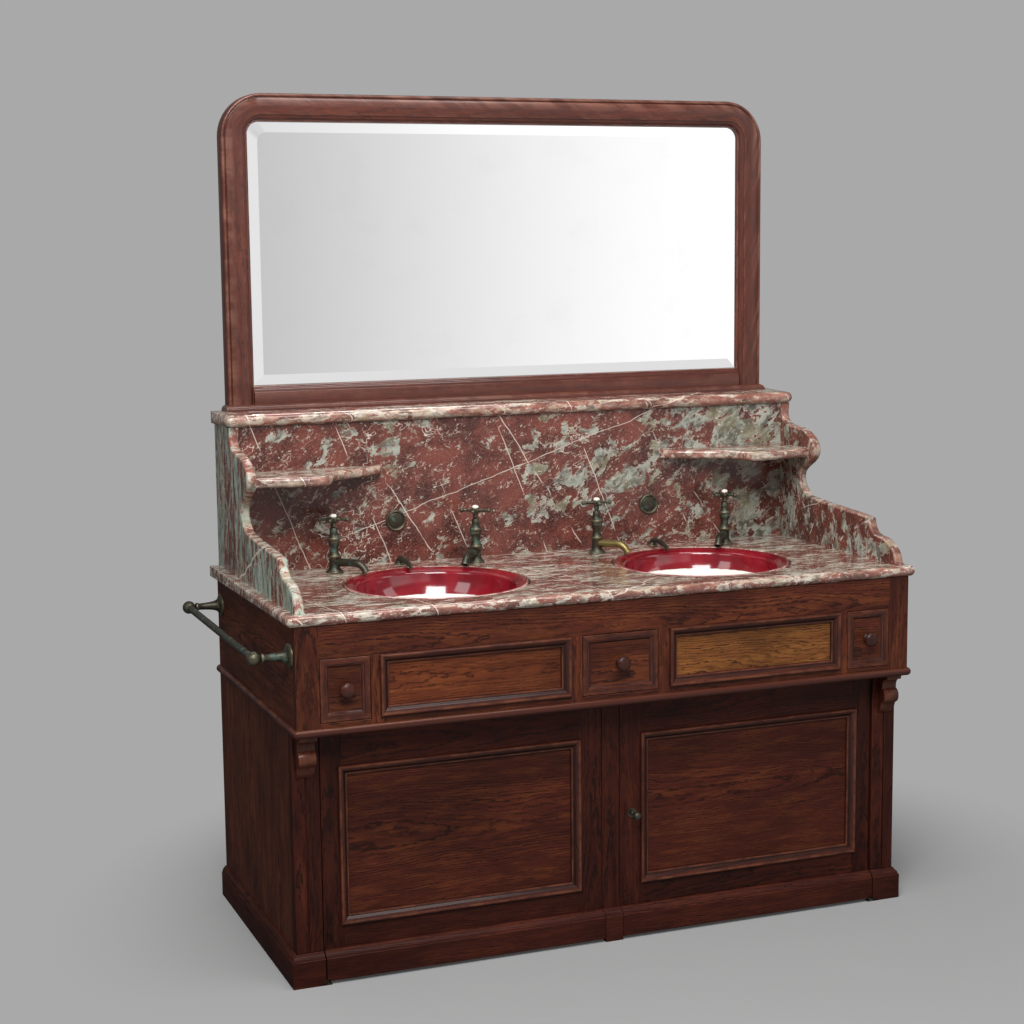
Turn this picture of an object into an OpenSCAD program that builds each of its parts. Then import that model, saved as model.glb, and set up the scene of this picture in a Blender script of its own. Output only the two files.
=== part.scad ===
// Double washstand: wooden base with two doors and three drawers, marble top,
// splashback and gallery, two tip-up bowls over fixed receivers, four pillar taps,
// a towel rail on the left and a bevelled mirror standing on the marble ledge.
// +X right, +Y to the wall, +Z up; the origin is on the floor, at the middle of the back.

/* [Marble] */
// Thickness of the marble top
top_t = 24; // [20:1:28]
// Overhang of the top past the side panels
top_side = 17; // [12:1:30]
// Overhang of the top past the drawer storey
top_front = 8; // [4:1:16]
// From the taps' middle to the face of the splashback
splash_back = 76; // [66:1:90]
// Thickness of the splashback slab
splash_t = 22; // [16:1:30]
// Height of the splashback
splash_h = 339; // [330:1:400]
// Thickness of the two shaped side slabs
gallery_t = 22; // [16:1:28]
// From the side edge of the top to the outer face of a side slab
gallery_inset = 22; // [14:1:40]
// From the front edge of the top to the foot of a side slab
gallery_setback = 22; // [14:1:60]
// Thickness of the ledge slab
ledge_t = 28; // [20:1:34]
// Overhang of the ledge past the side slabs
ledge_side = 8; // [0:1:14]
// Overhang of the ledge past the splashback
ledge_front = 14; // [6:1:30]
// Width of a corner shelf along the splashback
shelf_w = 343; // [300:1:380]
// Depth of a corner shelf along the side slab
shelf_d = 150; // [130:1:160]
// Height of the shelf face above the marble top
shelf_up = 236; // [226:1:244]
// Thickness of a corner shelf
shelf_t = 22; // [16:1:26]

/* [Base] */
// Thickness of the side panels and of the front framing
board_t = 22; // [18:1:25]
// Thickness of the back panel
back_t = 10; // [6:1:14]
// Depth of the lower cupboard, wall to door face
low_d = 641; // [620:1:680]
// How far the drawer storey stands out over the doors
storey_out = 57; // [48:1:62]
// Height of the underside of the drawer storey
soffit_z = 552; // [540:1:600]
// Height of the rail above the drawers
frieze_rail = 72; // [60:1:90]
// Thickness of the board under the drawers
dust_t = 18; // [12:1:20]
// Thickness of the cupboard floor
floor_t = 18; // [12:1:22]
// Height of the plinth
plinth_h = 72; // [60:1:84]
// How far the plinth stands proud of the doors
plinth_proud = 20; // [14:1:24]
// How far the plinth stands proud of the side panels
plinth_side = 12; // [8:1:16]
// Gap under the doors' part of the plinth
door_lift = 8; // [7:0.5:12]
// Width of a corner pilaster
pilaster_w = 59.5; // [50:0.5:64]
// How far a pilaster stands proud of the doors
pilaster_proud = 6; // [3:1:10]
// Width of the post between the doors
post_w = 42; // [36:1:50]
// Gap at each side of a door
door_gap = 1.5; // [1:0.1:3]
// Gap at the hinge side of a door
hinge_gap = 3; // [2.5:0.1:4]
// Gap above a door
head_gap = 6; // [5:0.5:9]
// Radius of the round moulding under the frieze
band_r = 9; // [5:0.5:12]
// Width of a corbel
corbel_w = 38; // [30:1:42]
// Height of a corbel
corbel_h = 98; // [80:1:120]

/* [Doors] */
// Width of a door's outer stile
stile_out = 45.5; // [40:0.5:60]
// Width of a door's closing stile
stile_in = 57.5; // [50:0.5:70]
// Height of a door's top rail
rail_top = 83; // [70:1:100]
// Height from the door's foot to the panel opening
rail_low = 120; // [110:1:140]
// Thickness of a door panel
panel_t = 12; // [8:1:13]
// How far the panel lies behind the door face
panel_sunk = 8; // [5:1:8]
// Width of the raised moulding round a panel
mould_w = 22; // [16:1:26]
// How far that moulding laps over the frame
mould_lap = 7; // [4:1:10]
// How far that moulding stands proud
mould_proud = 7; // [4:1:9]
// Radius of a door pivot pin
pivot_r = 3; // [2:0.5:3.5]
// Radial clearance of pins and spindles in their bores
run_fit = 0.05; // [0.02:0.01:0.1]
// Height of the latch above the floor
latch_z = 287; // [220:1:420]
// Radius of the latch's knob
latch_r = 9; // [7:0.5:11]
// How far the latch's knob stands out
latch_l = 38; // [28:1:42]

/* [Drawers] */
// Width of the middle drawer front
mid_drawer_w = 180; // [150:1:184]
// Width of a corner drawer front
end_drawer_w = 108; // [90:1:112]
// Height of a drawer front
drawer_h = 133; // [120:1:140]
// From the drawer storey's underside to the drawer fronts
drawer_up = 29; // [24:1:34]
// Depth of a drawer box
drawer_l = 420; // [300:5:440]
// Thickness of a drawer box's sides
drawer_t = 8; // [6:1:10]
// Gap round a drawer front
drawer_gap = 1.5; // [1:0.1:2.5]
// Width of the frame's corner stiles
end_stile = 52; // [46:1:58]
// Width of the stile beside the middle drawer
mid_stile = 35; // [32:1:44]
// Width of the stile beside a corner drawer
side_stile = 28; // [24:1:34]
// Length of the boards and runners of a drawer's bay
bay_l = 476; // [440:2:500]
// Free width beside a receiver in its bay
bay_free = 6; // [5:1:20]
// Radius of a knob
knob_r = 17; // [12:0.5:20]
// How far a knob stands out
knob_l = 30; // [22:1:36]

/* [Bowls] */
// Free depth between a receiver and the front framing
tub_free = 21; // [12:1:30]
// Radius of the holes in the top
hole_r = 212; // [200:1:213]
// Gap between a bowl's rim and its hole
rim_gap = 5; // [4.5:0.5:7]
// Depth of a bowl
bowl_h = 150; // [130:1:160]
// Wall of a bowl
bowl_t = 7; // [5:0.5:9]
// Width of the sloping rim
rim_w = 28; // [20:1:34]
// Height of the pivot below the top
pivot_drop = 36; // [34:1:40]
// How far the pivot lies behind the bowl's middle
pivot_back = 12; // [8:1:14]
// Radius of the bowl's pins
pin_r = 6; // [5:0.5:7]
// Wall of a receiver
tub_t = 5; // [4:0.5:6]
// Gap between a receiver and the hole above it
tub_gap = 4; // [3:0.5:4]
// Outer radius of the waste pipe
waste_r = 20; // [16:0.5:22]
// Wall of the waste pipe
waste_t = 3; // [2:0.5:4]
// Bend radius of the traps
trap_r = 45; // [40:1:50]
// From a receiver's inner floor down to the middle of its waste pipe
waste_drop = 58; // [50:1:80]

/* [Taps] */
// Distance of a tap from its bowl's middle, sideways
tap_x = 174.5; // [172:0.5:178]
// From the taps' middle to the bowls' middle
tap_back = 213; // [206:1:222]
// Height of a tap with its handle
tap_h = 138; // [128:1:150]
// Radius of a tap's body
tap_r = 12; // [10:0.5:14]
// Reach of a spout
spout_l = 84; // [72:1:90]
// Radius of a spout
spout_r = 8; // [6:0.5:9]
// Length of a handle's arm
arm_l = 38; // [30:1:42]
// Radius of a tap's threaded tail
tail_r = 10.4; // [9:0.1:12]
// Outer radius of the supply pipes
supply_r = 7.5; // [6:0.5:9]
// Height of the free end of the supply pipes
supply_z = 12; // [6:1:30]
// Radius of the discs on the splashback
disc_r = 25; // [20:0.5:30]
// Height of the discs above the top
disc_up = 101; // [80:1:120]

/* [Towel rail] */
// From the side panel to the rail
rail_out = 77; // [60:1:90]
// From the underside of the marble down to the rail
rail_down = 66; // [50:1:90]
// Radius of the rail
rail_r = 8; // [6:0.5:10]
// Radius of the end balls
ball_r = 15; // [12:0.5:18]
// Radius of the wall roses
rose_r = 27; // [22:1:32]
// Distance of the rear arm from the wall
rail_back = 34; // [30:1:60]
// Distance of the front arm back from the face of the drawer storey
rail_in = 42; // [38:1:78]

/* [Mirror] */
// Width of the mirror frame
mirror_w = 1402; // [1300:2:1420]
// Height of the mirror frame above its base moulding
mirror_h = 718; // [600:2:760]
// Width of the frame's side and top members
frame_w = 64; // [50:1:80]
// Width of the frame's bottom member
frame_low = 43; // [36:1:60]
// Depth of the frame
frame_d = 41; // [36:1:50]
// Outer radius of the frame's top corners
corner_r = 100; // [80:1:110]
// Radius of the glass opening's top corners
glass_r = 30; // [16:1:40]
// Thickness of the glass
glass_t = 6; // [4:0.5:8]
// Width of the glass bevel
bevel_w = 25; // [16:1:30]
// How far the glass lies behind the frame's face
glass_sunk = 14; // [8:1:16]
// How far the glass reaches under the frame
glass_lap = 6; // [4:0.5:10]
// Height of the base moulding
sill_h = 14; // [10:1:22]
// How far the base moulding stands proud of the frame
sill_proud = 9; // [4:1:14]
// From the side of the glass to a hanging plate's hole
hang_in = 37; // [30:1:90]

/* [Hidden] */
$fn = 64;
eps = 1;      // overshoot of cuts
seat = 0.3;   // gap at which a sliding piece lies on its seat

wood = [0.30, 0.14, 0.11];
pale_wood = [0.44, 0.25, 0.15];
marble = [0.52, 0.32, 0.29];
bronze = [0.22, 0.24, 0.20];
brass = [0.62, 0.50, 0.28];
glaze = [0.60, 0.14, 0.17];
porcelain = [0.92, 0.90, 0.86];

high_d = low_d + storey_out;                  // face of the drawer storey, from the wall
top_d = high_d + top_front;                   // depth of the marble top
lip = 4;                                      // flange of a receiver past its shell
rim_r = hole_r - rim_gap;
tub_r = hole_r + tub_gap;                     // inner radius of a receiver
tub_flange = tub_r + tub_t + lip;
bay_t = 8;                                    // thickness of the boards between the bays
bay_gap = drawer_gap + 1;                     // from a drawer front to the board beside it
bay_x = mid_drawer_w / 2 + bay_gap + bay_t;   // inner side of a bowl's bay
bowl_x = bay_x + bay_free + tub_flange;       // middle of a bowl
end_drawer_x = bowl_x + tub_flange + bay_free + bay_t + bay_gap + end_drawer_w / 2;
side_x = end_drawer_x + end_drawer_w / 2 + end_stile;   // outer face of a side panel
base_w = 2 * side_x;
top_w = base_w + 2 * top_side;                // width of the marble top
drawer_z = soffit_z + drawer_up;
top_u = drawer_z + drawer_h + frieze_rail;    // underside of the marble
top_z = top_u + top_t;                        // washing height
bowl_y = high_d - board_t - tub_free - tub_flange;      // the bowls' middle, from the wall
tap_y = bowl_y - tap_back;
splash_d = tap_y - splash_back;
inner_x = side_x - board_t;                   // inner face of a side panel
dust_z = soffit_z + dust_t;                   // top of the board under the drawers
post_x = post_w / 2;
pilaster_x = side_x - pilaster_w;             // inner edge of a pilaster
door_x0 = post_x + door_gap;                  // closing edge of a door
door_x1 = pilaster_x - hinge_gap;             // hinge edge of a door
door_top = soffit_z - head_gap;
door_back = low_d - board_t;                  // distance of a door's back from the wall
open_x0 = door_x0 + stile_in;                 // panel opening of a door
open_x1 = door_x1 - stile_out;
open_z0 = door_lift + rail_low;
open_z1 = door_top - rail_top;
plinth_y = low_d + plinth_proud;              // front of the plinth, from the wall
pivot_in = 4;                                 // pivot axis behind the plinth's front
pivot_x = door_x1 - 2.5;                      // pivot axis, from the middle
pivot_y = plinth_y - pivot_in;
plate_t = 3;                                  // thickness of the pivot plates
shoe_l = 16;                                  // how far a floor plate reaches under the plinth
shoe_d = 8;                                   // and how far it reaches behind the pivot
stop_w = 12;                                  // lap of a door on the strip behind the post
stop_t = 14;                                  // thickness of that strip

drawer_mid_z = drawer_z + drawer_h / 2;
false_x0 = mid_drawer_w / 2 + mid_stile;
false_x1 = end_drawer_x - end_drawer_w / 2 - side_stile;
false_z0 = drawer_z + 9;
false_z1 = drawer_z + drawer_h - 6;
front_t = board_t - 2;                        // thickness of a drawer front
box_up = 3;                                   // drawer box above the foot of its front
box_h = drawer_h - 23;
bay_y = high_d - board_t - bay_l;             // rear end of the drawer bays
rail_front = high_d - rail_in;                // front arm of the towel rail, from the wall

gallery_x = top_w / 2 - gallery_inset;        // outer face of a side slab
gallery_in = gallery_x - gallery_t;
gallery_y = top_d - gallery_setback;          // foot of a side slab, from the wall
ledge_z = top_z + splash_h;                   // underside of the ledge
ledge_top = ledge_z + ledge_t;
ledge_w = 2 * (gallery_x + ledge_side);
ledge_d = splash_d + ledge_front;

pivot_z = top_z - pivot_drop;                 // height of the bowls' pivots
axle_y = bowl_y - pivot_back;
outlet_z = pivot_z - tub_r;                   // inner bottom of a receiver
boss_x = rim_r + 2;                           // inner face of a receiver's bearing boss
spigot_z = outlet_z - tub_t - 16;             // foot of a receiver's outlet
waste_z = outlet_z - waste_drop;

tap_turn = atan2(tap_x, bowl_y - tap_y);      // a spout's turn towards its bowl
tap_hub_z = top_z + tap_h - 20;
tail_z = top_u - 41;                          // foot of a tap's tail
tap_places = [[-1, -1], [-1, 1], [1, -1], [1, 1]];

rail_x = side_x + rail_out;
rail_z = top_u - rail_down;
frame_z0 = ledge_top + sill_h;
frame_z1 = frame_z0 + mirror_h;
glass_x = mirror_w / 2 - frame_w;             // half of the glass opening
glass_z0 = frame_z0 + frame_low;
glass_z1 = frame_z1 - frame_w;
glass_y = frame_d - glass_sunk;               // face of the glass, from the wall
hang_x = glass_x - hang_in;

// A box between two corners, whose depths are measured from the wall.
module block(x0, x1, d0, d1, z0, z1)
  translate([x0, -d1, z0]) cube([x1 - x0, d1 - d0, z1 - z0]);

// An outline given as [depth from the wall, height], extruded from x0 to x1.
module slice(x0, x1)
  translate([x0, 0, 0]) rotate([90, 0, 90]) linear_extrude(x1 - x0) mirror([1, 0]) children();

// An outline given as [x, height], extruded from depth d0 to depth d1.
module facing(d0, d1)
  translate([0, -d0, 0]) rotate([90, 0, 0]) linear_extrude(d1 - d0) children();

module both_sides() { children(); mirror([1, 0, 0]) children(); }

module along_x(x0, x1, r, d, z) translate([x0, -d, z]) rotate([0, 90, 0]) cylinder(h = x1 - x0, r = r);
module along_y(d0, d1, r, x, z) translate([x, -d0, z]) rotate([90, 0, 0]) cylinder(h = d1 - d0, r = r);

// Points of an ellipse's arc.
function arc(c, r, a0, a1, n = 8) =
  [for (i = [0:n]) let (a = a0 + (a1 - a0) * i / n) [c.x + r.x * cos(a), c.y + r.y * sin(a)]];

// Points of a cubic curve through its two end points.
function curve(a, b, c, d, n = 8) =
  [for (i = [0:n]) let (t = i / n, s = 1 - t)
    s * s * s * a + 3 * s * s * t * b + 3 * s * t * t * c + t * t * t * d];

// ---- plinth -----------------------------------------------------------------

// Section of the plinth board: flat back, face at `proud`, eased top edge.
module plinth_section(proud, z0, back = 0)
  polygon(concat([[-back, z0], [proud, z0], [proud, plinth_h - 14], [proud * 0.8, plinth_h - 6], [0, plinth_h]],
    back > 0 ? [[-back, plinth_h]] : []));

module plinth_front(x0, x1, z0, back = 0)
  slice(x0, x1) translate([low_d, 0]) plinth_section(plinth_proud, z0, back);

module plinth_return(d0, d1)
  translate([side_x, -d0, 0]) rotate([90, 0, 0]) linear_extrude(d1 - d0) plinth_section(plinth_side, 0);

module plinth() color(wood) {
  both_sides() difference() {
    union() {
      plinth_return(0, low_d + eps);
      plinth_front(pilaster_x, side_x, 0, board_t);
      intersection() {
        plinth_return(low_d, plinth_y);
        plinth_front(side_x, side_x + plinth_side, 0, board_t);
      }
    }
    block(pilaster_x - eps, pilaster_x + shoe_l, pivot_y - shoe_d, plinth_y + eps, -eps, plate_t);
  }
  block(-inner_x, inner_x, 0, back_t + 4, 0, plinth_h);
}

// ---- base -------------------------------------------------------------------

module side_panel() color(wood) slice(inner_x, side_x)
  polygon([[0, 0], [door_back, 0], [door_back, soffit_z], [high_d - board_t, soffit_z],
           [high_d - board_t, top_u], [0, top_u]]);

module back_panel() color(pale_wood) difference() {
  block(-inner_x, inner_x, 0, back_t, plinth_h, top_u);
  for (s = [-1, 1]) along_y(-eps, back_t + eps, waste_r + 1, s * bowl_x, waste_z);
}

module supply_holes(z0, z1)
  for (p = tap_places)
    translate([p[0] * bowl_x + p[1] * tap_x, -tap_y, z0]) cylinder(h = z1 - z0, r = supply_r + 1);

module cupboard_floor() color(pale_wood) difference() {
  block(-inner_x, inner_x, back_t + 4, door_back - 2, plinth_h - floor_t, plinth_h);
  supply_holes(plinth_h - floor_t - eps, plinth_h + eps);
}

// Post between the doors, with a strip behind it that both doors close on.
module centre_post() color(wood) difference() {
  union() {
    block(-post_x, post_x, door_back, low_d, 0, soffit_z);
    plinth_front(-post_x, post_x, 0, board_t / 2);
    block(-post_x, post_x, door_back - stop_t, low_d - board_t / 2, plinth_h, soffit_z);
    block(-post_x - stop_w, post_x + stop_w, door_back - stop_t, door_back - seat, plinth_h, soffit_z);
  }
  block(post_x - bolt_out - 4, post_x + eps, case_d0 + 1, case_d1 - 1, bolt_z - 3, bolt_z + bolt_h + 3);
}

module dust_board() color(pale_wood) difference() {
  block(-inner_x, inner_x, back_t, high_d - board_t, soffit_z, dust_z);
  supply_holes(soffit_z - eps, dust_z + eps);
  for (s = [-1, 1]) translate([s * bowl_x, -bowl_y, soffit_z - eps])
    cylinder(h = dust_t + 2 * eps, r = tub_foot_r);
  for (s = [-1, 1]) translate([s * pivot_x, -pivot_y, soffit_z - eps]) cylinder(h = 14 + eps, r = pivot_r + 3);
}
// radius of a receiver's shell where it passes the board
tub_foot_r = sqrt(pow(tub_r + tub_t, 2) - pow(pivot_z - dust_z, 2)) + seat;

// ---- drawer storey ----------------------------------------------------------

module opening(x0, x1, z0, z1, g = 0) translate([x0 - g, z0 - g]) square([x1 - x0 + 2 * g, z1 - z0 + 2 * g]);

module frieze_frame() color(wood) facing(high_d - board_t, high_d) difference() {
  translate([-side_x, soffit_z]) square([base_w, top_u - soffit_z]);
  opening(-mid_drawer_w / 2, mid_drawer_w / 2, drawer_z, drawer_z + drawer_h, drawer_gap);
  for (s = [0, 1]) mirror([s, 0]) {
    opening(end_drawer_x - end_drawer_w / 2, end_drawer_x + end_drawer_w / 2,
            drawer_z, drawer_z + drawer_h, drawer_gap);
    opening(false_x0, false_x1, false_z0, false_z1);
  }
}

// Raised moulding round a sunk panel: it laps over the frame and stands down to the panel.
module panel_moulding(x0, x1, z0, z1, face, sunk) {
  facing(face, face + mould_proud) difference() {
    opening(x0, x1, z0, z1, mould_lap);
    opening(x0, x1, z0, z1, mould_lap - mould_w);
  }
  facing(face - sunk, face) difference() {
    opening(x0, x1, z0, z1);
    opening(x0, x1, z0, z1, mould_lap - mould_w);
  }
}

module false_panels() color(pale_wood) both_sides() {
  block(false_x0, false_x1, high_d - board_t, high_d - panel_sunk, false_z0, false_z1);
  color(wood) panel_moulding(false_x0, false_x1, false_z0, false_z1, high_d, panel_sunk);
}

// Boards between the bays, and a pair of runners under each drawer.
module drawer_bays() color(pale_wood) {
  both_sides() {
    for (x = [bay_x - bay_t, 2 * bowl_x - bay_x])
      block(x, x + bay_t, bay_y, high_d - board_t, dust_z, top_u);
    runner(end_drawer_x - end_drawer_w / 2 + box_up);
    runner(end_drawer_x + end_drawer_w / 2 - box_up - 2 * drawer_t);
    runner(mid_drawer_w / 2 - box_up - 2 * drawer_t);
  }
}
module runner(x)
  block(x, x + 2 * drawer_t, bay_y, high_d - board_t, dust_z, drawer_z + box_up - seat);

pocket_in = 13;   // margin round a drawer front's sunk field
pocket_d = 6;     // depth of that field
module drawer_front(x, w) color(wood) difference() {
  block(x - w / 2, x + w / 2, high_d - front_t, high_d, drawer_z, drawer_z + drawer_h);
  block(x - w / 2 + pocket_in, x + w / 2 - pocket_in, high_d - pocket_d, high_d + eps,
        drawer_z + pocket_in, drawer_z + drawer_h - pocket_in);
  along_y(high_d - front_t - eps, high_d, knob_neck, x, drawer_mid_z);
}

knob_neck = 6;
module drawer_knob(x) color(wood) translate([x, -high_d + pocket_d, drawer_mid_z]) rotate([90, 0, 0])
  rotate_extrude() polygon(concat(
    [[0, pocket_d - front_t], [knob_neck, pocket_d - front_t], [knob_neck, 0], [knob_r * 0.6, 0],
     [knob_r * 0.6, 3], [knob_r * 0.42, 6], [knob_r * 0.42, knob_l * 0.32]],
    arc([0, knob_l * 0.66], [knob_r, knob_l * 0.34], -60, 90, 12)));

module drawer_box(x, w) color(pale_wood) {
  x0 = x - w / 2 + box_up;
  x1 = x + w / 2 - box_up;
  d1 = high_d - front_t;
  z0 = drawer_z + box_up;
  difference() {
    block(x0, x1, d1 - drawer_l, d1, z0, z0 + box_h);
    block(x0 + drawer_t, x1 - drawer_t, d1 - drawer_l + drawer_t, d1 - drawer_t, z0 + 6, z0 + box_h + eps);
  }
}

module half_round(l) linear_extrude(l) intersection() {
  circle(band_r);
  translate([0, -band_r]) square([band_r, 2 * band_r]);
}
band_z = soffit_z + band_r;
module band_moulding() color(wood) {
  translate([-side_x, -high_d, band_z]) rotate([0, 90, 0]) rotate([0, 0, -90]) half_round(base_w);
  both_sides() {
    translate([side_x, 0, band_z]) rotate([90, 0, 0]) half_round(high_d);
    translate([side_x, -high_d, band_z]) rotate([0, 0, -90]) rotate_extrude(angle = 90) intersection() {
      circle(band_r);
      translate([0, -band_r]) square([band_r, 2 * band_r]);
    }
  }
}

pilaster_y = low_d + pilaster_proud;
module pilasters() color(wood) both_sides() {
  difference() {
    block(pilaster_x, side_x, door_back, pilaster_y, plinth_h, soffit_z);
    block(pilaster_x + pilaster_w / 2, pilaster_x + pilaster_w / 2 + 3, pilaster_y - 3, pilaster_y + eps,
          plinth_h - eps, soffit_z + eps);
  }
  corbel(side_x - 8 - corbel_w);
}

// Scroll bracket: flat top under the frieze, hollow throat, round nose, tapering foot.
corbel_out = high_d - 10 - pilaster_y;
module corbel(x) slice(x, x + corbel_w) translate([pilaster_y, soffit_z]) polygon(concat(
  [[0, 0], [corbel_out, 0]],
  arc([corbel_out, -corbel_h * 0.3], [corbel_out * 0.5, corbel_h * 0.2], 90, 180),
  arc([corbel_out * 0.42, -corbel_h * 0.66], [corbel_out * 0.3, corbel_h * 0.16], 60, -60),
  [[0, -corbel_h]]));

// ---- doors ------------------------------------------------------------------

// Each door is drawn on the right; the left one is its mirror image.
module door_frame(latch) color(wood) {
  difference() {
    facing(door_back, low_d) difference() {
      opening(door_x0, door_x1, door_lift, door_top);
      opening(open_x0, open_x1, open_z0, open_z1);
    }
    pivot_recess();
    if (latch) {
      block(door_x0 - eps, door_x0 + case_w, case_d0, case_d1, latch_z - case_dn, latch_z + case_up);
      along_y(case_d0, low_d + eps, stem_r + seat, latch_x, latch_z);
    }
  }
  panel_moulding(open_x0, open_x1, open_z0, open_z1, low_d, panel_sunk);
}

module door_panel() color(pale_wood)
  block(open_x0, open_x1, low_d - panel_sunk - panel_t, low_d - panel_sunk, open_z0, open_z1);

module door_plinth() color(wood) difference() {
  plinth_front(door_x0, door_x1, door_lift);
  pivot_recess();
}

// Room for the lower pivot plate in the door's foot.
module pivot_recess()
  block(pivot_x - 10, door_x1 + eps, low_d - 16, plinth_y + eps, door_lift - eps, door_lift + plate_t);

// Cranked plates: one on the door's head, one let into its foot, each with a pin.
module pivot_plates() color(brass) {
  block(pivot_x - 10, door_x1, low_d - 16, pivot_y + pivot_r + 1, door_top, door_top + plate_t);
  translate([pivot_x, -pivot_y, door_top]) cylinder(h = head_gap + 12, r = pivot_r);
  block(pivot_x - 10, door_x1, low_d - 16, plinth_y, door_lift, door_lift + plate_t);
  translate([pivot_x, -pivot_y, 0.5]) cylinder(h = door_lift + 1, r = pivot_r);
}

module pivot_sockets() color(brass) both_sides() {
  translate([pivot_x, -pivot_y, soffit_z]) difference() {
    cylinder(h = 14, r = pivot_r + 3);
    translate([0, 0, -eps]) cylinder(h = 14, r = pivot_r + run_fit);
  }
  difference() {
    block(pivot_x - shoe_d, pilaster_x + shoe_l, pivot_y - shoe_d, plinth_y, 0, plate_t);
    translate([pivot_x, -pivot_y, -eps]) cylinder(h = plate_t + 2 * eps, r = pivot_r + run_fit);
  }
}

case_w = 44;
case_dn = 18;
case_up = 36;
case_d0 = low_d - 17;
case_d1 = low_d - 4;
latch_x = door_x0 + stile_in / 2;
stem_r = 3;
bolt_out = 10;    // throw of the latch bolt
bolt_z = latch_z + 12;
bolt_h = 16;
cam_r = 9;        // reach of the cam on the knob's stem

module latch_case() color(brass) {
  difference() {
    block(door_x0, door_x0 + case_w, case_d0, case_d1, latch_z - case_dn, latch_z + case_up);
    block(door_x0 - eps, door_x0 + case_w - 3, case_d0 + 2, case_d1 - 2, bolt_z - seat, bolt_z + bolt_h + seat);
    along_y(case_d0 + 2, case_d1 - 2, cam_r + 2, latch_x, latch_z);
    along_y(case_d0 + 1, case_d1 + eps, stem_r + run_fit, latch_x, latch_z);
  }
  difference() {
    along_y(low_d, low_d + 1.5, latch_r + 2, latch_x, latch_z);
    along_y(low_d - eps, low_d + 2 * eps, stem_r + seat, latch_x, latch_z);
  }
}

module latch_bolt() color(brass)
  block(door_x0, door_x0 + case_w - bolt_out, case_d0 + 2 + seat, case_d1 - 2 - seat, bolt_z, bolt_z + bolt_h);

// Knob: stem with a cam inside the case, a collar, and a flattened ball.
module latch_knob() color(bronze) {
  translate([latch_x, -low_d, latch_z]) rotate([90, 0, 0]) rotate_extrude() polygon(concat(
    [[0, case_d0 + 1 + seat - low_d], [stem_r, case_d0 + 1 + seat - low_d], [stem_r, 3], [stem_r + 2, 5],
     [stem_r + 2, 8], [stem_r, 11]],
    arc([0, latch_l - latch_r * 0.9], [latch_r, latch_r * 0.9], -60, 90, 12)));
  block(latch_x - 1.5, latch_x + 1.5, case_d0 + 3, case_d1 - 3, latch_z - cam_r, latch_z);
}

// ---- marble -----------------------------------------------------------------

// A slab against the wall with a full half-round on its front and side edges.
module nosed_slab(w, d, z, t) {
  r = t / 2;
  block(-w / 2 + r, w / 2 - r, 0, d - r, z, z + t);
  along_x(-w / 2 + r, w / 2 - r, r, d - r, z + r);
  both_sides() {
    along_y(0, d - r, r, w / 2 - r, z + r);
    translate([w / 2 - r, -(d - r), z + r]) sphere(r);
  }
}

module marble_top() color(marble) difference() {
  nosed_slab(top_w, top_d, top_u, top_t);
  for (s = [-1, 1])
    translate([s * bowl_x, -bowl_y, top_u - eps]) cylinder(h = top_t + 2 * eps, r = hole_r, $fn = 128);
  for (p = tap_places)
    translate([p[0] * bowl_x + p[1] * tap_x, -tap_y, top_u - eps]) cylinder(h = top_t + 2 * eps, r = tap_r + 2);
}

module splashback() color(marble) difference() {
  block(-gallery_in, gallery_in, splash_d - splash_t, splash_d, top_z, ledge_z);
  for (s = [-1, 1])
    along_y(splash_d - splash_t - eps, splash_d + eps, disc_r * 0.4, s * bowl_x, top_z + disc_up);
}

// Side slab outline: lobed foot, long low shoulder, throat, nose at the shelf, stepped top.
shoulder_d = gallery_y - 118;       // front corner of the shoulder
shoulder_h = 96;
throat_d = splash_d + 96;           // depth and height of the throat
throat_h = 160;
heel_d = throat_d + 45;             // where the shoulder begins to rise to the throat
slope_d = shoulder_d - heel_d;
nose_d = splash_d + shelf_d + 17;   // the nose comes just past the shelf
nose_h = shelf_up;
step_d = splash_d + 5;              // upper front edge, close to the splashback
step_l = 59;                        // reach of the step above the nose
foot_r = 78;
foot_h = 59;
function gallery_points() = concat(
  [[0, 0], [gallery_y, 0]],
  arc([gallery_y - foot_r, 0], [foot_r, foot_h], 10, 90),
  arc([gallery_y - foot_r, shoulder_h], [gallery_y - foot_r - shoulder_d, shoulder_h - foot_h], 270, 180),
  curve([shoulder_d - 14, shoulder_h + 3], [shoulder_d - slope_d * 0.37, shoulder_h + 10],
        [heel_d + slope_d * 0.2, shoulder_h + 12], [heel_d, shoulder_h + 20]),
  curve([heel_d, shoulder_h + 20], [heel_d - 20, shoulder_h + 27],
        [throat_d, throat_h - 24], [throat_d, throat_h]),
  curve([throat_d, throat_h], [throat_d, throat_h + 30], [nose_d, nose_h - 40], [nose_d, nose_h - 4]),
  curve([nose_d, nose_h - 4], [nose_d, nose_h + 22], [nose_d - 44, nose_h + 44],
        [step_d + step_l + 30, nose_h + 46]),
  curve([step_d + step_l, nose_h + 49], [step_d + 24, nose_h + 50], [step_d, nose_h + 58],
        [step_d, nose_h + 78]),
  [[step_d, splash_h], [0, splash_h]]);

module gallery() color(marble) slice(gallery_in, gallery_x) translate([0, top_z]) polygon(gallery_points());

module ledge() color(marble) nosed_slab(ledge_w, ledge_d, ledge_z, ledge_t);

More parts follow.
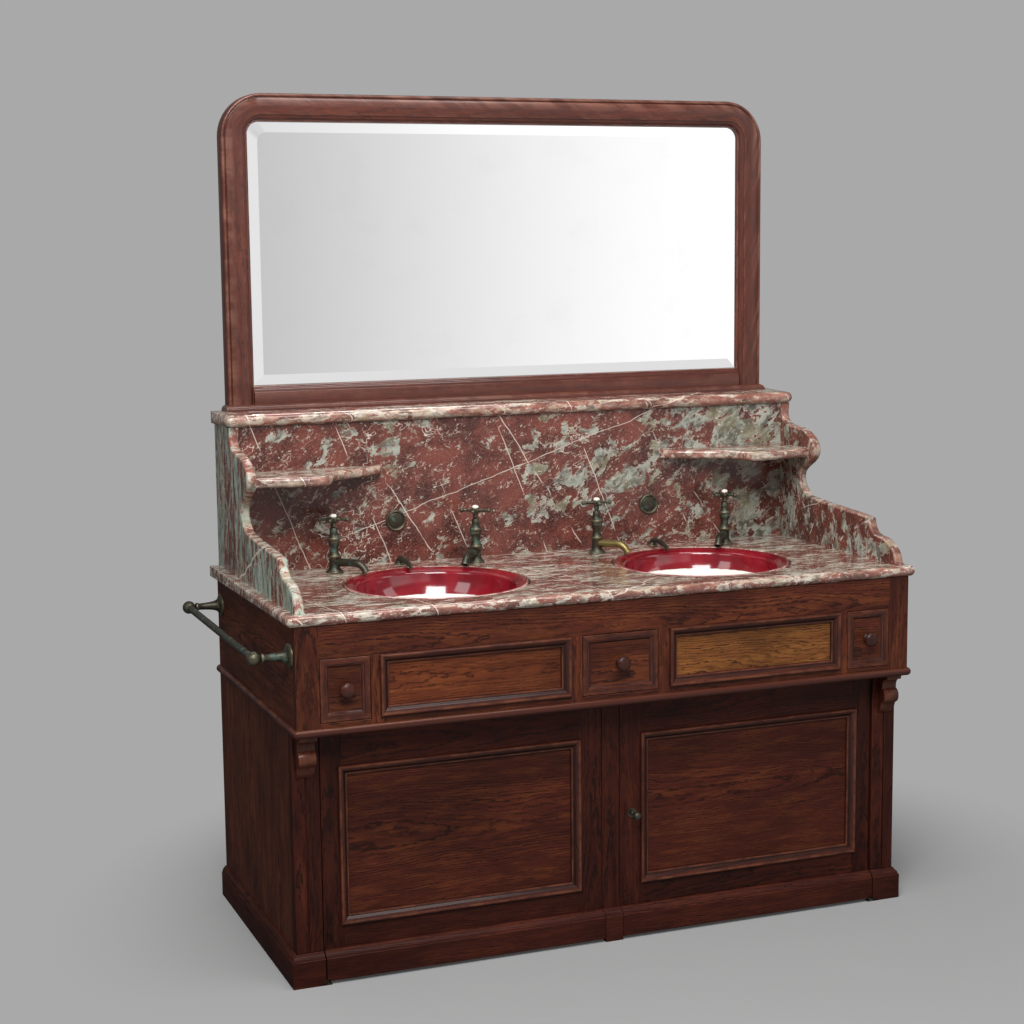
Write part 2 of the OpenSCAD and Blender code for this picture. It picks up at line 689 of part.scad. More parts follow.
// Corner shelf: serpentine front from the side slab round to a point on the splashback.
module corner_shelves() color(marble) both_sides()
  translate([0, 0, top_z + shelf_up - shelf_t]) linear_extrude(shelf_t)
    translate([gallery_in, -splash_d]) mirror([0, 1]) polygon(concat(
      [[0, 0], [0, shelf_d - 8]],
      curve([0, shelf_d - 8], [-60, shelf_d + 4], [-96, shelf_d + 24], [-146, shelf_d + 24]),
      curve([-146, shelf_d + 24], [-190, shelf_d + 24], [-180, shelf_d * 0.72], [-216, shelf_d * 0.55]),
      curve([-216, shelf_d * 0.55], [-262, shelf_d * 0.34], [20 - shelf_w, shelf_d * 0.3], [-shelf_w, 0])));

// ---- mirror -----------------------------------------------------------------

// A panel outline standing on its foot, with both top corners rounded.
module arched(hw, z0, z1, r) {
  translate([-hw, z0]) square([2 * hw, z1 - z0 - r]);
  translate([-hw + r, z0]) square([2 * (hw - r), z1 - z0]);
  for (s = [-1, 1]) translate([s * (hw - r), z1 - r]) circle(r, $fn = 96);
}

module mirror_frame() color(wood) {
  facing(glass_y, frame_d) difference() {
    arched(mirror_w / 2, frame_z0, frame_z1, corner_r);
    arched(glass_x, glass_z0, glass_z1, glass_r);
  }
  facing(0, glass_y) difference() {
    arched(mirror_w / 2, frame_z0, frame_z1, corner_r);
    arched(glass_x + glass_lap, glass_z0 - glass_lap, glass_z1 + glass_lap, glass_r + glass_lap);
  }
  slice(-mirror_w / 2 - sill_proud, mirror_w / 2 + sill_proud) translate([0, ledge_top]) polygon(concat(
    [[0, 0], [frame_d + sill_proud, 0]],
    arc([frame_d, sill_h * 0.4], [sill_proud, sill_h * 0.6], 0, 90), [[0, sill_h]]));
}

// The glass: a plate whose front edges are ground down to a slope of bevel_w.
module mirror_glass() color([0.78, 0.80, 0.82]) {
  play = 1;
  hw = glass_x + glass_lap - play;
  z0 = glass_z0 - glass_lap + play;
  z1 = glass_z1 + glass_lap - play;
  cut = glass_t * 0.55;
  run = bevel_w + glass_lap - play;
  intersection() {
    facing(glass_y - glass_t, glass_y) arched(hw, z0, z1, glass_r + glass_lap - play);
    slice(-hw, hw) polygon([[glass_y - glass_t, z0], [glass_y - cut, z0], [glass_y, z0 + run],
                            [glass_y, z1 - run], [glass_y - cut, z1], [glass_y - glass_t, z1]]);
    translate([0, 0, z0]) linear_extrude(z1 - z0) mirror([0, 1])
      polygon([[-hw, glass_y - glass_t], [-hw, glass_y - cut], [run - hw, glass_y], [hw - run, glass_y],
               [hw, glass_y - cut], [hw, glass_y - glass_t]]);
  }
}

// Backboard behind the glass, and two hanging plates flush with the wall.
hang_z = frame_z1 - frame_w - 40;
module mirror_back() color(pale_wood) {
  facing(glass_y - glass_t - 7, glass_y - glass_t)
    arched(glass_x + glass_lap - 1, glass_z0 - glass_lap + 1, glass_z1 + glass_lap - 1, glass_r + glass_lap - 1);
  color(brass) for (s = [-1, 1]) difference() {
    block(s * hang_x - 16, s * hang_x + 16, 0, glass_y - glass_t - 7, hang_z - 24, hang_z + 24);
    block(s * hang_x - 10, s * hang_x + 10, 3, glass_y - glass_t - 7 - 3, hang_z - 18, hang_z + 18);
    along_y(-eps, 3 + eps, 5, s * hang_x, hang_z);
  }
}

// ---- bowls ------------------------------------------------------------------

// Bowl section as [radius, height above the marble]: sloping rim, steep wall, flat bottom.
rim_drop = 9;
function bowl_inner() = concat(
  [[rim_r - 4, 0], [rim_r - rim_w - 1, -rim_drop]],
  curve([rim_r - rim_w - 1, -rim_drop], [rim_r - rim_w - 6, -58], [rim_r - 74, -bowl_h + bowl_t + 26],
        [66, -bowl_h + bowl_t], 14),
  [[0, -bowl_h + bowl_t]]);
function bowl_outer() = concat(
  [[0, -bowl_h], [68, -bowl_h]],
  curve([68, -bowl_h], [rim_r - 66, -bowl_h + 24], [rim_r - rim_w + 1, -60], [rim_r - rim_w + 6, -24], 14),
  [[rim_r - 4, -14], [rim_r, -10], [rim_r, -4]]);

module bowl(s) color(glaze) {
  translate([s * bowl_x, -bowl_y, top_z]) rotate_extrude($fn = 128) polygon(concat(bowl_inner(), bowl_outer()));
  for (k = [-1, 1]) {
    a = s * bowl_x + k * (rim_r - rim_w);
    b = s * bowl_x + k * (tub_r + tub_t - 1);
    along_x(min(a, b), max(a, b), pin_r, axle_y, pivot_z);
  }
}

// Receivers: half-round tubs with a flange under the marble and open-topped bearings.
module receivers() color(porcelain) for (s = [-1, 1]) difference() {
  union() {
    translate([s * bowl_x, -bowl_y, pivot_z]) rotate_extrude($fn = 128) intersection() {
      difference() { circle(tub_r + tub_t); circle(tub_r); }
      translate([0, -tub_r - tub_t]) square([tub_r + tub_t, tub_r + tub_t + top_u - pivot_z]);
    }
    translate([s * bowl_x, -bowl_y, top_u - lip]) difference() {
      cylinder(h = lip, r = tub_flange, $fn = 128);
      translate([0, 0, -eps]) cylinder(h = lip + 2 * eps, r = tub_r + 1, $fn = 128);
    }
    for (k = [-1, 1]) {
      a = s * bowl_x + k * boss_x;
      b = s * bowl_x + k * (tub_r + tub_t + 1);
      along_x(min(a, b), max(a, b), pin_r + 5, axle_y, pivot_z);
    }
    translate([s * bowl_x, -bowl_y, spigot_z]) cylinder(h = outlet_z - spigot_z - 2, r = waste_r + 4);
  }
  for (k = [-1, 1]) {
    a = s * bowl_x + k * (boss_x - eps);
    b = s * bowl_x + k * (tub_r + tub_t + 2 * eps);
    along_x(min(a, b), max(a, b), pin_r + run_fit, axle_y, pivot_z);
    block(min(a, b), max(a, b), axle_y - pin_r - run_fit, axle_y + pin_r + run_fit, pivot_z, top_u + eps);
  }
  translate([s * bowl_x, -bowl_y, spigot_z - eps])
    cylinder(h = outlet_z - spigot_z + 10, r = waste_r - waste_t);
}

module bend(r, a) rotate_extrude(angle = a) translate([r, 0]) difference() {
  circle(waste_r);
  circle(waste_r - waste_t);
}
module tube(h) difference() {
  cylinder(h = h, r = waste_r);
  translate([0, 0, -eps]) cylinder(h = h + 2 * eps, r = waste_r - waste_t);
}
// Each trap: down from the outlet, a half turn, up, a quarter turn, and straight to the wall.
module waste_traps() color(bronze) for (s = [-1, 1]) translate([s * bowl_x, -bowl_y, 0]) {
  low_z = waste_z - trap_r - 30;
  translate([0, 0, low_z]) tube(spigot_z - low_z);
  translate([0, trap_r, low_z]) rotate([0, 90, 0]) rotate([0, 0, -90]) bend(trap_r, 180);
  translate([0, 2 * trap_r, low_z]) tube(30);
  translate([0, 3 * trap_r, low_z + 30]) rotate([90, 0, -90]) bend(trap_r, 90);
  translate([0, 3 * trap_r, waste_z]) rotate([-90, 0, 0]) tube(bowl_y - 3 * trap_r);
}

// ---- fittings ---------------------------------------------------------------

// Rim stop: a foot on the marble and a beak that reaches over the bowl's rear rim.
stop_d0 = splash_d + 8;
stop_d1 = bowl_y - rim_r + 34;
module rim_stops() color(bronze) for (s = [-1, 1]) {
  translate([s * bowl_x, -(stop_d0 + 14), top_z]) cylinder(h = 8, r = 13);
  slice(s * bowl_x - 6, s * bowl_x + 6) translate([0, top_z]) polygon(concat(
    [[stop_d0 + 4, 4], [bowl_y - hole_r - 4, 4], [bowl_y - hole_r - 4, seat]],
    arc([stop_d1 - 5, seat + 3.2], [5, 3.2], -90, 60),
    curve([stop_d1 - 14, 9], [stop_d1 - 40, 19], [stop_d0 + 34, 20], [stop_d0 + 4, 13])));
}

module splash_discs() color(bronze) for (s = [-1, 1])
  translate([s * bowl_x, -splash_d, top_z + disc_up]) rotate([90, 0, 0]) rotate_extrude() polygon(concat(
    [[0, -splash_t - 6], [disc_r * 0.6, -splash_t - 6], [disc_r * 0.6, -splash_t],
     [disc_r * 0.4 - 0.5, -splash_t],
     [disc_r * 0.4 - 0.5, 0], [disc_r, 0], [disc_r, 4]],
    arc([disc_r - 3, 4], [3, 3], 0, 180, 6), [[disc_r - 7, 4]],
    curve([disc_r - 7, 4], [disc_r * 0.5, 6], [disc_r * 0.25, 7], [0, 7])));

// Baluster body of a tap, as [radius, height above the marble].
spout_up = 24;
gland_h = tap_h - 34;  // top of the body
function tap_points() = concat(
  [[0, 0], [tap_r + 9, 0], [tap_r + 9, 3], [tap_r + 5, 6], [tap_r + 1, 10], [tap_r, 14], [tap_r, 34],
   [tap_r + 3, 37], [tap_r + 3, 41], [tap_r - 1, 45]],
  curve([tap_r - 1, 45], [tap_r - 4, 56], [tap_r + 2, 62], [tap_r + 1, 72], 6),
  [[tap_r + 3, 75], [tap_r + 3, 82], [tap_r - 2, 86], [tap_r - 3, gland_h - 6], [tap_r - 4, gland_h],
   [0, gland_h]]);

module tap_body() difference() {
  union() {
    rotate_extrude() polygon(tap_points());
    translate([0, 0, tail_z - top_z]) cylinder(h = top_z - tail_z, r = tail_r);
    translate([0, 0, -top_t]) cylinder(h = top_t, r = tap_r + 1);
    translate([0, 0, spout_up]) rotate([90, 0, 0]) cylinder(h = spout_l - spout_bend, r = spout_r);
    translate([0, -(spout_l - spout_bend), spout_up - spout_bend]) rotate([0, -90, 0])
      rotate_extrude(angle = -84) translate([spout_bend, 0]) circle(spout_r);
  }
  translate([0, 0, gland_h - 20]) cylinder(h = 20 + eps, r = spindle_r + run_fit);
}
spout_bend = 18;
spindle_r = 4;

module at_tap(i) let (p = tap_places[i])
  translate([p[0] * bowl_x + p[1] * tap_x, -tap_y, top_z]) rotate([0, 0, -p[1] * tap_turn]) children();

module tap_bodies() color(bronze) for (i = [0:3]) at_tap(i) tap_body();

hub_r = 9;
hub_h = 12;
module tap_handle(i, turn) color(bronze) at_tap(i) translate([0, 0, tap_h - 20]) rotate([0, 0, turn]) {
  difference() {
    union() {
      cylinder(h = hub_h, r = hub_r);
      for (a = [0:90:270]) rotate([0, 0, a]) {
        translate([0, 0, hub_h / 2]) rotate([0, 90, 0]) cylinder(h = arm_l - 5, r = 3.4);
        translate([arm_l - 5, 0, hub_h / 2]) sphere(5);
      }
    }
    translate([0, 0, hub_h - 2]) cylinder(h = 2 + eps, r = hub_r - 1);
  }
  translate([0, 0, -34]) cylinder(h = 36, r = spindle_r);
  translate([0, 0, -12]) cylinder(h = 12, r = spindle_r + 2);
}

// Porcelain button in the hub: a short drum with a domed face.
module tap_button(i) color(porcelain) at_tap(i) translate([0, 0, tap_h - 20 + hub_h - 2])
  rotate_extrude() polygon(concat([[0, 0], [hub_r - 1.2, 0], [hub_r - 1.2, 4]],
    arc([0, 4], [hub_r - 1.2, 6], 0, 90)));

// Nut under the marble, union, and pipe down to the floor.
module supply_pipes() color(brass) for (p = tap_places)
  translate([p[0] * bowl_x + p[1] * tap_x, -tap_y, 0]) {
    translate([0, 0, top_u - 9]) difference() {
      cylinder(h = 9, r = tail_r + 8, $fn = 6);
      translate([0, 0, -eps]) cylinder(h = 9 + 2 * eps, r = tail_r + 0.1);
    }
    difference() {
      union() {
        translate([0, 0, tail_z - 8]) cylinder(h = 16, r = tail_r + 5, $fn = 6);
        translate([0, 0, supply_z]) cylinder(h = tail_z - 8 - supply_z, r = supply_r);
      }
      translate([0, 0, tail_z]) cylinder(h = 16, r = tail_r + 0.1);
      translate([0, 0, supply_z - eps]) cylinder(h = tail_z - supply_z + 2 * eps, r = supply_r - 1.5);
    }
  }

// ---- towel rail -------------------------------------------------------------

module towel_rail() color(bronze) {
  along_y(rail_back, rail_front, rail_r, -rail_x, rail_z);
  for (d = [rail_back, rail_front]) translate([-rail_x, -d, rail_z]) sphere(ball_r);
}

arm_in = 4;   // how far the arm's seat lies inside the ball
module rail_brackets() color(bronze) difference() {
  for (d = [rail_back, rail_front]) translate([-side_x, -d, rail_z]) rotate([0, -90, 0])
    rotate_extrude() polygon(concat(
      [[0, 0], [rose_r, 0], [rose_r, 3]],
      curve([rose_r - 2, 5], [rose_r * 0.5, 8], [rose_r * 0.42, 14], [rose_r * 0.34, 30]),
      [[rail_r * 0.7, rail_out - ball_r], [rail_r * 0.7, rail_out - ball_r + arm_in],
       [0, rail_out - ball_r + arm_in]]));
  for (d = [rail_back, rail_front]) translate([-rail_x, -d, rail_z]) sphere(ball_r);
}

plinth();
mirror([1, 0, 0]) side_panel();  // side_panel_left
side_panel();  // side_panel_right
back_panel();
cupboard_floor();
frieze_frame();
dust_board();
drawer_bays();
false_panels();
drawer_front(-end_drawer_x, end_drawer_w);  // drawer_front_left
drawer_front(0, mid_drawer_w);  // drawer_front_middle
drawer_front(end_drawer_x, end_drawer_w);  // drawer_front_right
drawer_box(-end_drawer_x, end_drawer_w);  // drawer_box_left
drawer_box(0, mid_drawer_w);  // drawer_box_middle
drawer_box(end_drawer_x, end_drawer_w);  // drawer_box_right
drawer_knob(-end_drawer_x);  // drawer_knob_left
drawer_knob(0);  // drawer_knob_middle
drawer_knob(end_drawer_x);  // drawer_knob_right
band_moulding();
pilasters();
centre_post();
mirror([1, 0, 0]) door_frame(false);  // door_frame_left
door_frame(true);  // door_frame_right
mirror([1, 0, 0]) door_panel();  // door_panel_left
door_panel();  // door_panel_right
mirror([1, 0, 0]) door_plinth();  // door_plinth_left
door_plinth();  // door_plinth_right
mirror([1, 0, 0]) pivot_plates();  // pivot_plates_left
pivot_plates();  // pivot_plates_right
pivot_sockets();
latch_case();
latch_bolt();
latch_knob();
marble_top();
splashback();
mirror([1, 0, 0]) gallery();  // gallery_left
gallery();  // gallery_right
ledge();
corner_shelves();
mirror_frame();
mirror_glass();
mirror_back();
bowl(-1);  // bowl_left
bowl(1);  // bowl_right
receivers();
rim_stops();
splash_discs();
waste_traps();
tap_bodies();
tap_handle(0, 20);  // tap_handle_1
tap_handle(1, 8);  // tap_handle_2
tap_handle(2, 40);  // tap_handle_3
tap_handle(3, 65);  // tap_handle_4
tap_button(0);  // tap_button_1
tap_button(1);  // tap_button_2
tap_button(2);  // tap_button_3
tap_button(3);  // tap_button_4
supply_pipes();
towel_rail();
rail_brackets();
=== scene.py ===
import itertools
import math
import random

import bmesh
import bpy
from mathutils import Matrix, Vector


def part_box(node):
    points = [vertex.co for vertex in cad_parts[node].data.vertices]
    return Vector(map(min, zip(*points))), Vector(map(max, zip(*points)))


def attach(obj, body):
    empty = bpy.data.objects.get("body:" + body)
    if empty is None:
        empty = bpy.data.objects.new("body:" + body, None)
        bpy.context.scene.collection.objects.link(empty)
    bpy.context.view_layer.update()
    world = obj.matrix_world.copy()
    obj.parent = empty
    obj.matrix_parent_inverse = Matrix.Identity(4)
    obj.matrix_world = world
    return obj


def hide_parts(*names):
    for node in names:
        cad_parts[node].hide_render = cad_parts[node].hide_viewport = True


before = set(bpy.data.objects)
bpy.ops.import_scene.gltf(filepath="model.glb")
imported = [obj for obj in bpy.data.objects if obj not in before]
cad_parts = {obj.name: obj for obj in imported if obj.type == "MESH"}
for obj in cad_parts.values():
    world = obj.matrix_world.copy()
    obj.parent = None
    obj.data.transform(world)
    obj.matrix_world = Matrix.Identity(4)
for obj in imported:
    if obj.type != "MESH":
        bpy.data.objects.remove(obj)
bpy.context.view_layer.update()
chance = random.Random(23)
skyUp = Vector((0, 0, 1))
towardsViewer = Vector((0, -1, 0))
mm = 0.001


def tint(red, green, blue):  # screen colour, 0 to 255, as the linear colour that shaders take
    parts = [part / 255 for part in (red, green, blue)]
    return tuple(p / 12.92 if p < 0.04 else ((p + 0.055) / 1.055) ** 2.4 for p in parts) + (1.0,)


# Shader building: a few short verbs, then the shared groups, then one function per finish.
def plug(tree, socket, value):
    if isinstance(value, bpy.types.NodeSocket):
        tree.links.new(value, socket)
    else:
        socket.default_value = value


def add(tree, kind, feeds=None, prefix="ShaderNode", **settings):
    node = tree.nodes.new(prefix + kind)
    for key, value in settings.items():
        setattr(node, key, value)
    for key, value in (feeds or {}).items():
        plug(tree, node.inputs[key], value)
    return node


def calc(tree, work, *values):
    return add(tree, "Math", dict(enumerate(values)), operation=work).outputs[0]


def times(tree, first, second):
    return calc(tree, "MULTIPLY", first, second)


def mixed(tree, share, first, second):
    return add(tree, "Mix", {0: share, 6: first, 7: second}, data_type="RGBA").outputs[2]


def graded(tree, value, low, high, start=0.0, end=1.0):
    feeds = {"Value": value, "From Min": low, "From Max": high, "To Min": start, "To Max": end}
    return add(tree, "MapRange", feeds, interpolation_type="SMOOTHSTEP").outputs[0]


def stretched(tree, vector, scale):
    return add(tree, "VectorMath", {0: vector, 1: scale}, operation="MULTIPLY").outputs[0]


def objectPlace(tree):
    return add(tree, "TexCoord").outputs["Object"]


def noise(tree, vector, scale, detail, rough=0.55):
    feeds = {"Vector": vector, "Scale": scale, "Detail": detail, "Roughness": rough}
    return add(tree, "TexNoise", feeds).outputs[0]


def bumped(tree, height, strength, distance):
    feeds = {"Height": height, "Strength": strength, "Distance": distance}
    return add(tree, "Bump", feeds).outputs[0]


def edgeMark(tree):  # above 0 on a rubbed arris with painted highlight, below 0 in a quirk with dirt and painted shade
    return add(tree, "Attribute", attribute_name="edge").outputs["Fac"]


def newGroup(name, inputs, outputs, system="ShaderNodeTree"):
    tree = bpy.data.node_groups.new(name, system)
    for title, kind, value in inputs:
        socket = tree.interface.new_socket(title, in_out="INPUT", socket_type="NodeSocket" + kind)
        if value is not None:
            socket.default_value = value
    for title, kind in outputs:
        tree.interface.new_socket(title, in_out="OUTPUT", socket_type="NodeSocket" + kind)
    return tree, tree.nodes.new("NodeGroupInput").outputs, tree.nodes.new("NodeGroupOutput").inputs


def use(tree, group, **feeds):
    node = tree.nodes.new("ShaderNodeGroup")
    node.node_tree = group
    for key, value in feeds.items():
        plug(tree, node.inputs[key], value)
    return node.outputs


# figure of the wood: noise scales are (along, across, deep) in turns per metre, shifts are in metres
woodFigure = {"sway": (3.4, 13.0, 13.0), "jitter": (42.0, 130.0, 130.0), "jitterShift": 4.2 * mm,
              "ripple": (56.0, 330.0, 330.0), "rippleShift": 3.0 * mm, "broken": (22.0, 210.0, 210.0),
              "fibre": (24.0, 620.0, 620.0), "cloud": (2.6, 8.0, 8.0), "patch": (9.0, 60.0, 60.0)}


def buildWoodGrain():  # growth rings round a pith that lies beside the board, x along the grain
    tree, given, result = newGroup(
        "woodGrain",
        [("Vector", "Vector", None), ("Spacing", "Float", 0.004), ("Warp", "Float", 0.008),
         ("Slope", "Float", 0.02)],
        [("Late", "Float"), ("Fibre", "Float"), ("Cloud", "Float")])
    vector = given["Vector"]
    along, across, deep = add(tree, "SeparateXYZ", {0: vector}).outputs
    radius = calc(tree, "SQRT", calc(tree, "ADD", calc(tree, "POWER", across, 2.0),
                                     calc(tree, "POWER", deep, 2.0)))
    radius = calc(tree, "MULTIPLY_ADD", along, given["Slope"], radius)
    sway = noise(tree, stretched(tree, vector, woodFigure["sway"]), 1.0, 3.0, 0.5)
    radius = calc(tree, "MULTIPLY_ADD", calc(tree, "SUBTRACT", sway, 0.5),
                  times(tree, given["Warp"], 2.0), radius)
    jitter = noise(tree, stretched(tree, vector, woodFigure["jitter"]), 1.0, 3.0, 0.6)
    radius = calc(tree, "MULTIPLY_ADD", jitter, woodFigure["jitterShift"], radius)
    ripple = noise(tree, stretched(tree, vector, woodFigure["ripple"]), 1.0, 2.0, 0.5)
    radius = calc(tree, "MULTIPLY_ADD", ripple, woodFigure["rippleShift"], radius)
    turn = calc(tree, "DIVIDE", radius, given["Spacing"])
    ring = calc(tree, "FRACT", turn)
    late = times(tree, graded(tree, ring, 0.46, 0.88), graded(tree, ring, 1.0, 0.92))
    year = add(tree, "TexWhiteNoise", {"W": calc(tree, "FLOOR", turn)}, noise_dimensions="1D").outputs[0]
    broken = noise(tree, stretched(tree, vector, woodFigure["broken"]), 1.0, 3.0, 0.65)
    late = times(tree, late, graded(tree, year, 0.0, 1.0, 0.55, 1.0))
    plug(tree, result["Late"], times(tree, late, graded(tree, broken, 0.36, 0.56, 0.6, 1.0)))
    plug(tree, result["Fibre"], noise(tree, stretched(tree, vector, woodFigure["fibre"]), 1.0, 3.0, 0.65))
    plug(tree, result["Cloud"], noise(tree, stretched(tree, vector, woodFigure["cloud"]), 1.0, 4.0, 0.6))
    return tree


# figure of the marble: colours, noise scales in turns per metre, and the families of straight veins
marbleTones = {"deep": tint(56, 29, 26), "red": tint(108, 57, 48), "grit": tint(150, 98, 86),
               "grey": tint(84, 84, 76), "olive": tint(118, 112, 82), "rim": tint(190, 182, 168),
               "fleck": tint(152, 140, 124), "curl": tint(196, 184, 170), "speck": tint(188, 178, 162),
               "vein": tint(206, 194, 182)}
marbleScales = {"drift": 11.0, "cloud": 16.0, "grit": 380.0, "crowd": 4.5, "patch": 20.0, "hue": 46.0,
                "olive": 13.0, "fleck": 78.0, "curl": 36.0, "sparse": 44.0, "speck": 105.0, "wander": 8.0}
# across is the direction times the count a metre, gate the scale of the breaks, half the half width,
# and fewer how much rarer the family is to the right
veinFamilies = [
    dict(across=(-0.8, 0.8, 2.4), gate=2.1, half=0.0030, fewer=0.0),
    dict(across=(5.0, 1.0, 2.0), gate=9.7, half=0.0075, fewer=-0.16),
    dict(across=(2.6, 3.0, 1.7), gate=9.1, half=0.005, fewer=-0.16),
]
driftReach = 0.06


def buildMarbleBody():  # broken red stone: ragged grey-green patches, pale flecks and curls, and thin veins
    tree, given, result = newGroup(
        "marbleBody",
        [("Vector", "Vector", None), ("Place", "Vector", None), ("Cover", "Float", 0.5),
         ("Rise", "Float", 0.0), ("Stone", "Color", None)],
        [("Colour", "Color"), ("Pale", "Float")])
    vector, tones, scales = given["Vector"], marbleTones, marbleScales
    drift = add(tree, "TexNoise", {"Vector": vector, "Scale": scales["drift"], "Detail": 4.0}).outputs[1]
    drift = add(tree, "VectorMath", {0: drift, 1: (0.5,) * 3}, operation="SUBTRACT").outputs[0]
    feeds = {0: drift, 1: (driftReach,) * 3, 2: vector}
    moved = add(tree, "VectorMath", feeds, operation="MULTIPLY_ADD").outputs[0]
    cloud = noise(tree, moved, scales["cloud"], 5.0, 0.62)
    body = mixed(tree, graded(tree, cloud, 0.34, 0.66), tones["deep"], tones["red"])
    grit = noise(tree, vector, scales["grit"], 3.0, 0.7)
    body = mixed(tree, graded(tree, grit, 0.46, 0.64, 0.0, 0.4), body, tones["grit"])
    # ragged patches, gathered in some places and rare in others
    crowd = noise(tree, vector, scales["crowd"], 2.0, 0.5)
    patch = noise(tree, moved, scales["patch"], 7.0, 0.7)
    level = calc(tree, "MULTIPLY_ADD", crowd, 0.3, times(tree, given["Cover"], 0.2))
    rightward = add(tree, "SeparateXYZ", {0: given["Place"]}).outputs["X"]
    level = calc(tree, "MULTIPLY_ADD", rightward, given["Rise"], level)
    inside = calc(tree, "SUBTRACT", calc(tree, "ADD", patch, level), 0.80)
    hue = noise(tree, moved, scales["hue"], 4.0, 0.65)
    stone = mixed(tree, graded(tree, hue, 0.38, 0.6), tones["grey"], given["Stone"])
    olive = graded(tree, noise(tree, vector, scales["olive"], 3.0, 0.55), 0.5, 0.62, 0.0, 0.6)
    stone = mixed(tree, olive, stone, tones["olive"])
    body = mixed(tree, graded(tree, inside, 0.0, 0.03, 0.0, 0.9), body, stone)
    rim = times(tree, graded(tree, inside, 0.0, 0.008), graded(tree, inside, 0.03, 0.012))
    rim = times(tree, rim, graded(tree, hue, 0.42, 0.56, 0.15, 0.75))
    body = mixed(tree, rim, body, tones["rim"])
    # pale flecks, short curved strokes and round specks
    fleck = noise(tree, moved, scales["fleck"], 4.0, 0.66)
    mask = times(tree, graded(tree, fleck, 0.59, 0.65), graded(tree, crowd, 0.4, 0.55, 0.1, 0.7))
    body = mixed(tree, mask, body, tones["fleck"])
    curl = calc(tree, "SUBTRACT", noise(tree, moved, scales["curl"], 3.0, 0.55), 0.52)
    curl = calc(tree, "ABSOLUTE", curl)
    sparse = noise(tree, vector, scales["sparse"], 2.0, 0.5)
    mask = times(tree, graded(tree, curl, 0.013, 0.004), graded(tree, sparse, 0.52, 0.6, 0.0, 0.75))
    body = mixed(tree, mask, body, tones["curl"])
    speck = add(tree, "TexVoronoi", {"Vector": moved, "Scale": scales["speck"]}).outputs[0]
    mask = times(tree, graded(tree, speck, 0.26, 0.17), graded(tree, hue, 0.52, 0.6, 0.0, 0.7))
    body = mixed(tree, mask, body, tones["speck"])
    # a winding vein, and long straight ones that break off
    wander = noise(tree, moved, scales["wander"], 4.0, 0.55)
    winding = calc(tree, "ABSOLUTE", calc(tree, "SUBTRACT", wander, 0.5))
    veins = times(tree, graded(tree, winding, 0.004, 0.001), graded(tree, crowd, 0.5, 0.58))
    for family in veinFamilies:
        reach = add(tree, "VectorMath", {0: given["Place"], 1: family["across"]}, operation="DOT_PRODUCT")
        reach = calc(tree, "ADD", reach.outputs["Value"], family["gate"])
        reach = calc(tree, "MULTIPLY_ADD", wander, 0.07, reach)
        line = calc(tree, "ABSOLUTE", calc(tree, "SUBTRACT", calc(tree, "FRACT", reach), 0.5))
        line = graded(tree, line, family["half"], family["half"] * 0.4)
        gate = noise(tree, given["Place"], family["gate"], 2.0, 0.5)
        gate = calc(tree, "MULTIPLY_ADD", rightward, family["fewer"], gate)
        veins = calc(tree, "MAXIMUM", veins, times(tree, line, graded(tree, gate, 0.49, 0.56)))
    body = mixed(tree, times(tree, veins, 0.8), body, tones["vein"])
    plug(tree, result["Colour"], body)
    plug(tree, result["Pale"], calc(tree, "MAXIMUM", veins, graded(tree, inside, 0.0, 0.03)))
    return tree


def buildEdgeWearAndLight():  # rubbed arrises with painted highlight, and dirt with painted shade in the quirks, from the pieces' own edge marks
    tree, given, result = newGroup("edgeWearAndLight", [("Vector", "Vector", None), ("Scale", "Float", 60.0)],
                                   [("WornAndLit", "Float"), ("GrimeAndShade", "Float")])
    mark = edgeMark(tree)
    patchy = graded(tree, noise(tree, given["Vector"], given["Scale"], 3.0, 0.6), 0.38, 0.66, 0.15, 1.0)
    # wear and painted highlight where the edge mark is above 0, broken up in patches
    plug(tree, result["WornAndLit"], times(tree, calc(tree, "MAXIMUM", mark, 0.0), patchy))
    # dirt and painted shade where the edge mark is below 0
    plug(tree, result["GrimeAndShade"], calc(tree, "MAXIMUM", times(tree, mark, -1.0), 0.0))
    return tree


def buildPatina():  # dark metal with greenish bloom in patches and brighter rubbed places
    tree, given, result = newGroup("patina", [("Vector", "Vector", None), ("Scale", "Float", 55.0)],
                                   [("Bloom", "Float"), ("Rubbed", "Float"), ("Grain", "Float")])
    broad = noise(tree, given["Vector"], given["Scale"], 5.0, 0.62)
    fine = noise(tree, given["Vector"], times(tree, given["Scale"], 9.0), 3.0, 0.6)
    mark = edgeMark(tree)
    plug(tree, result["Bloom"], graded(tree, broad, 0.53, 0.66))
    plug(tree, result["Rubbed"], calc(tree, "MAXIMUM", times(tree, mark, 0.8),
                                      graded(tree, broad, 0.42, 0.3, 0.0, 0.6)))
    plug(tree, result["Grain"], fine)
    return tree


woodGrain = buildWoodGrain()
marbleBody = buildMarbleBody()
edgeWearAndLight = buildEdgeWearAndLight()
patina = buildPatina()


def blankFinish(name):
    finish = bpy.data.materials.new(name)
    finish.use_nodes = True
    finish.node_tree.nodes.clear()
    shader = add(finish.node_tree, "BsdfPrincipled")
    add(finish.node_tree, "OutputMaterial", {"Surface": shader.outputs[0]})
    return finish, finish.node_tree, shader


def feed(tree, shader, feeds):
    for key, value in feeds.items():
        plug(tree, shader.inputs[key], value)
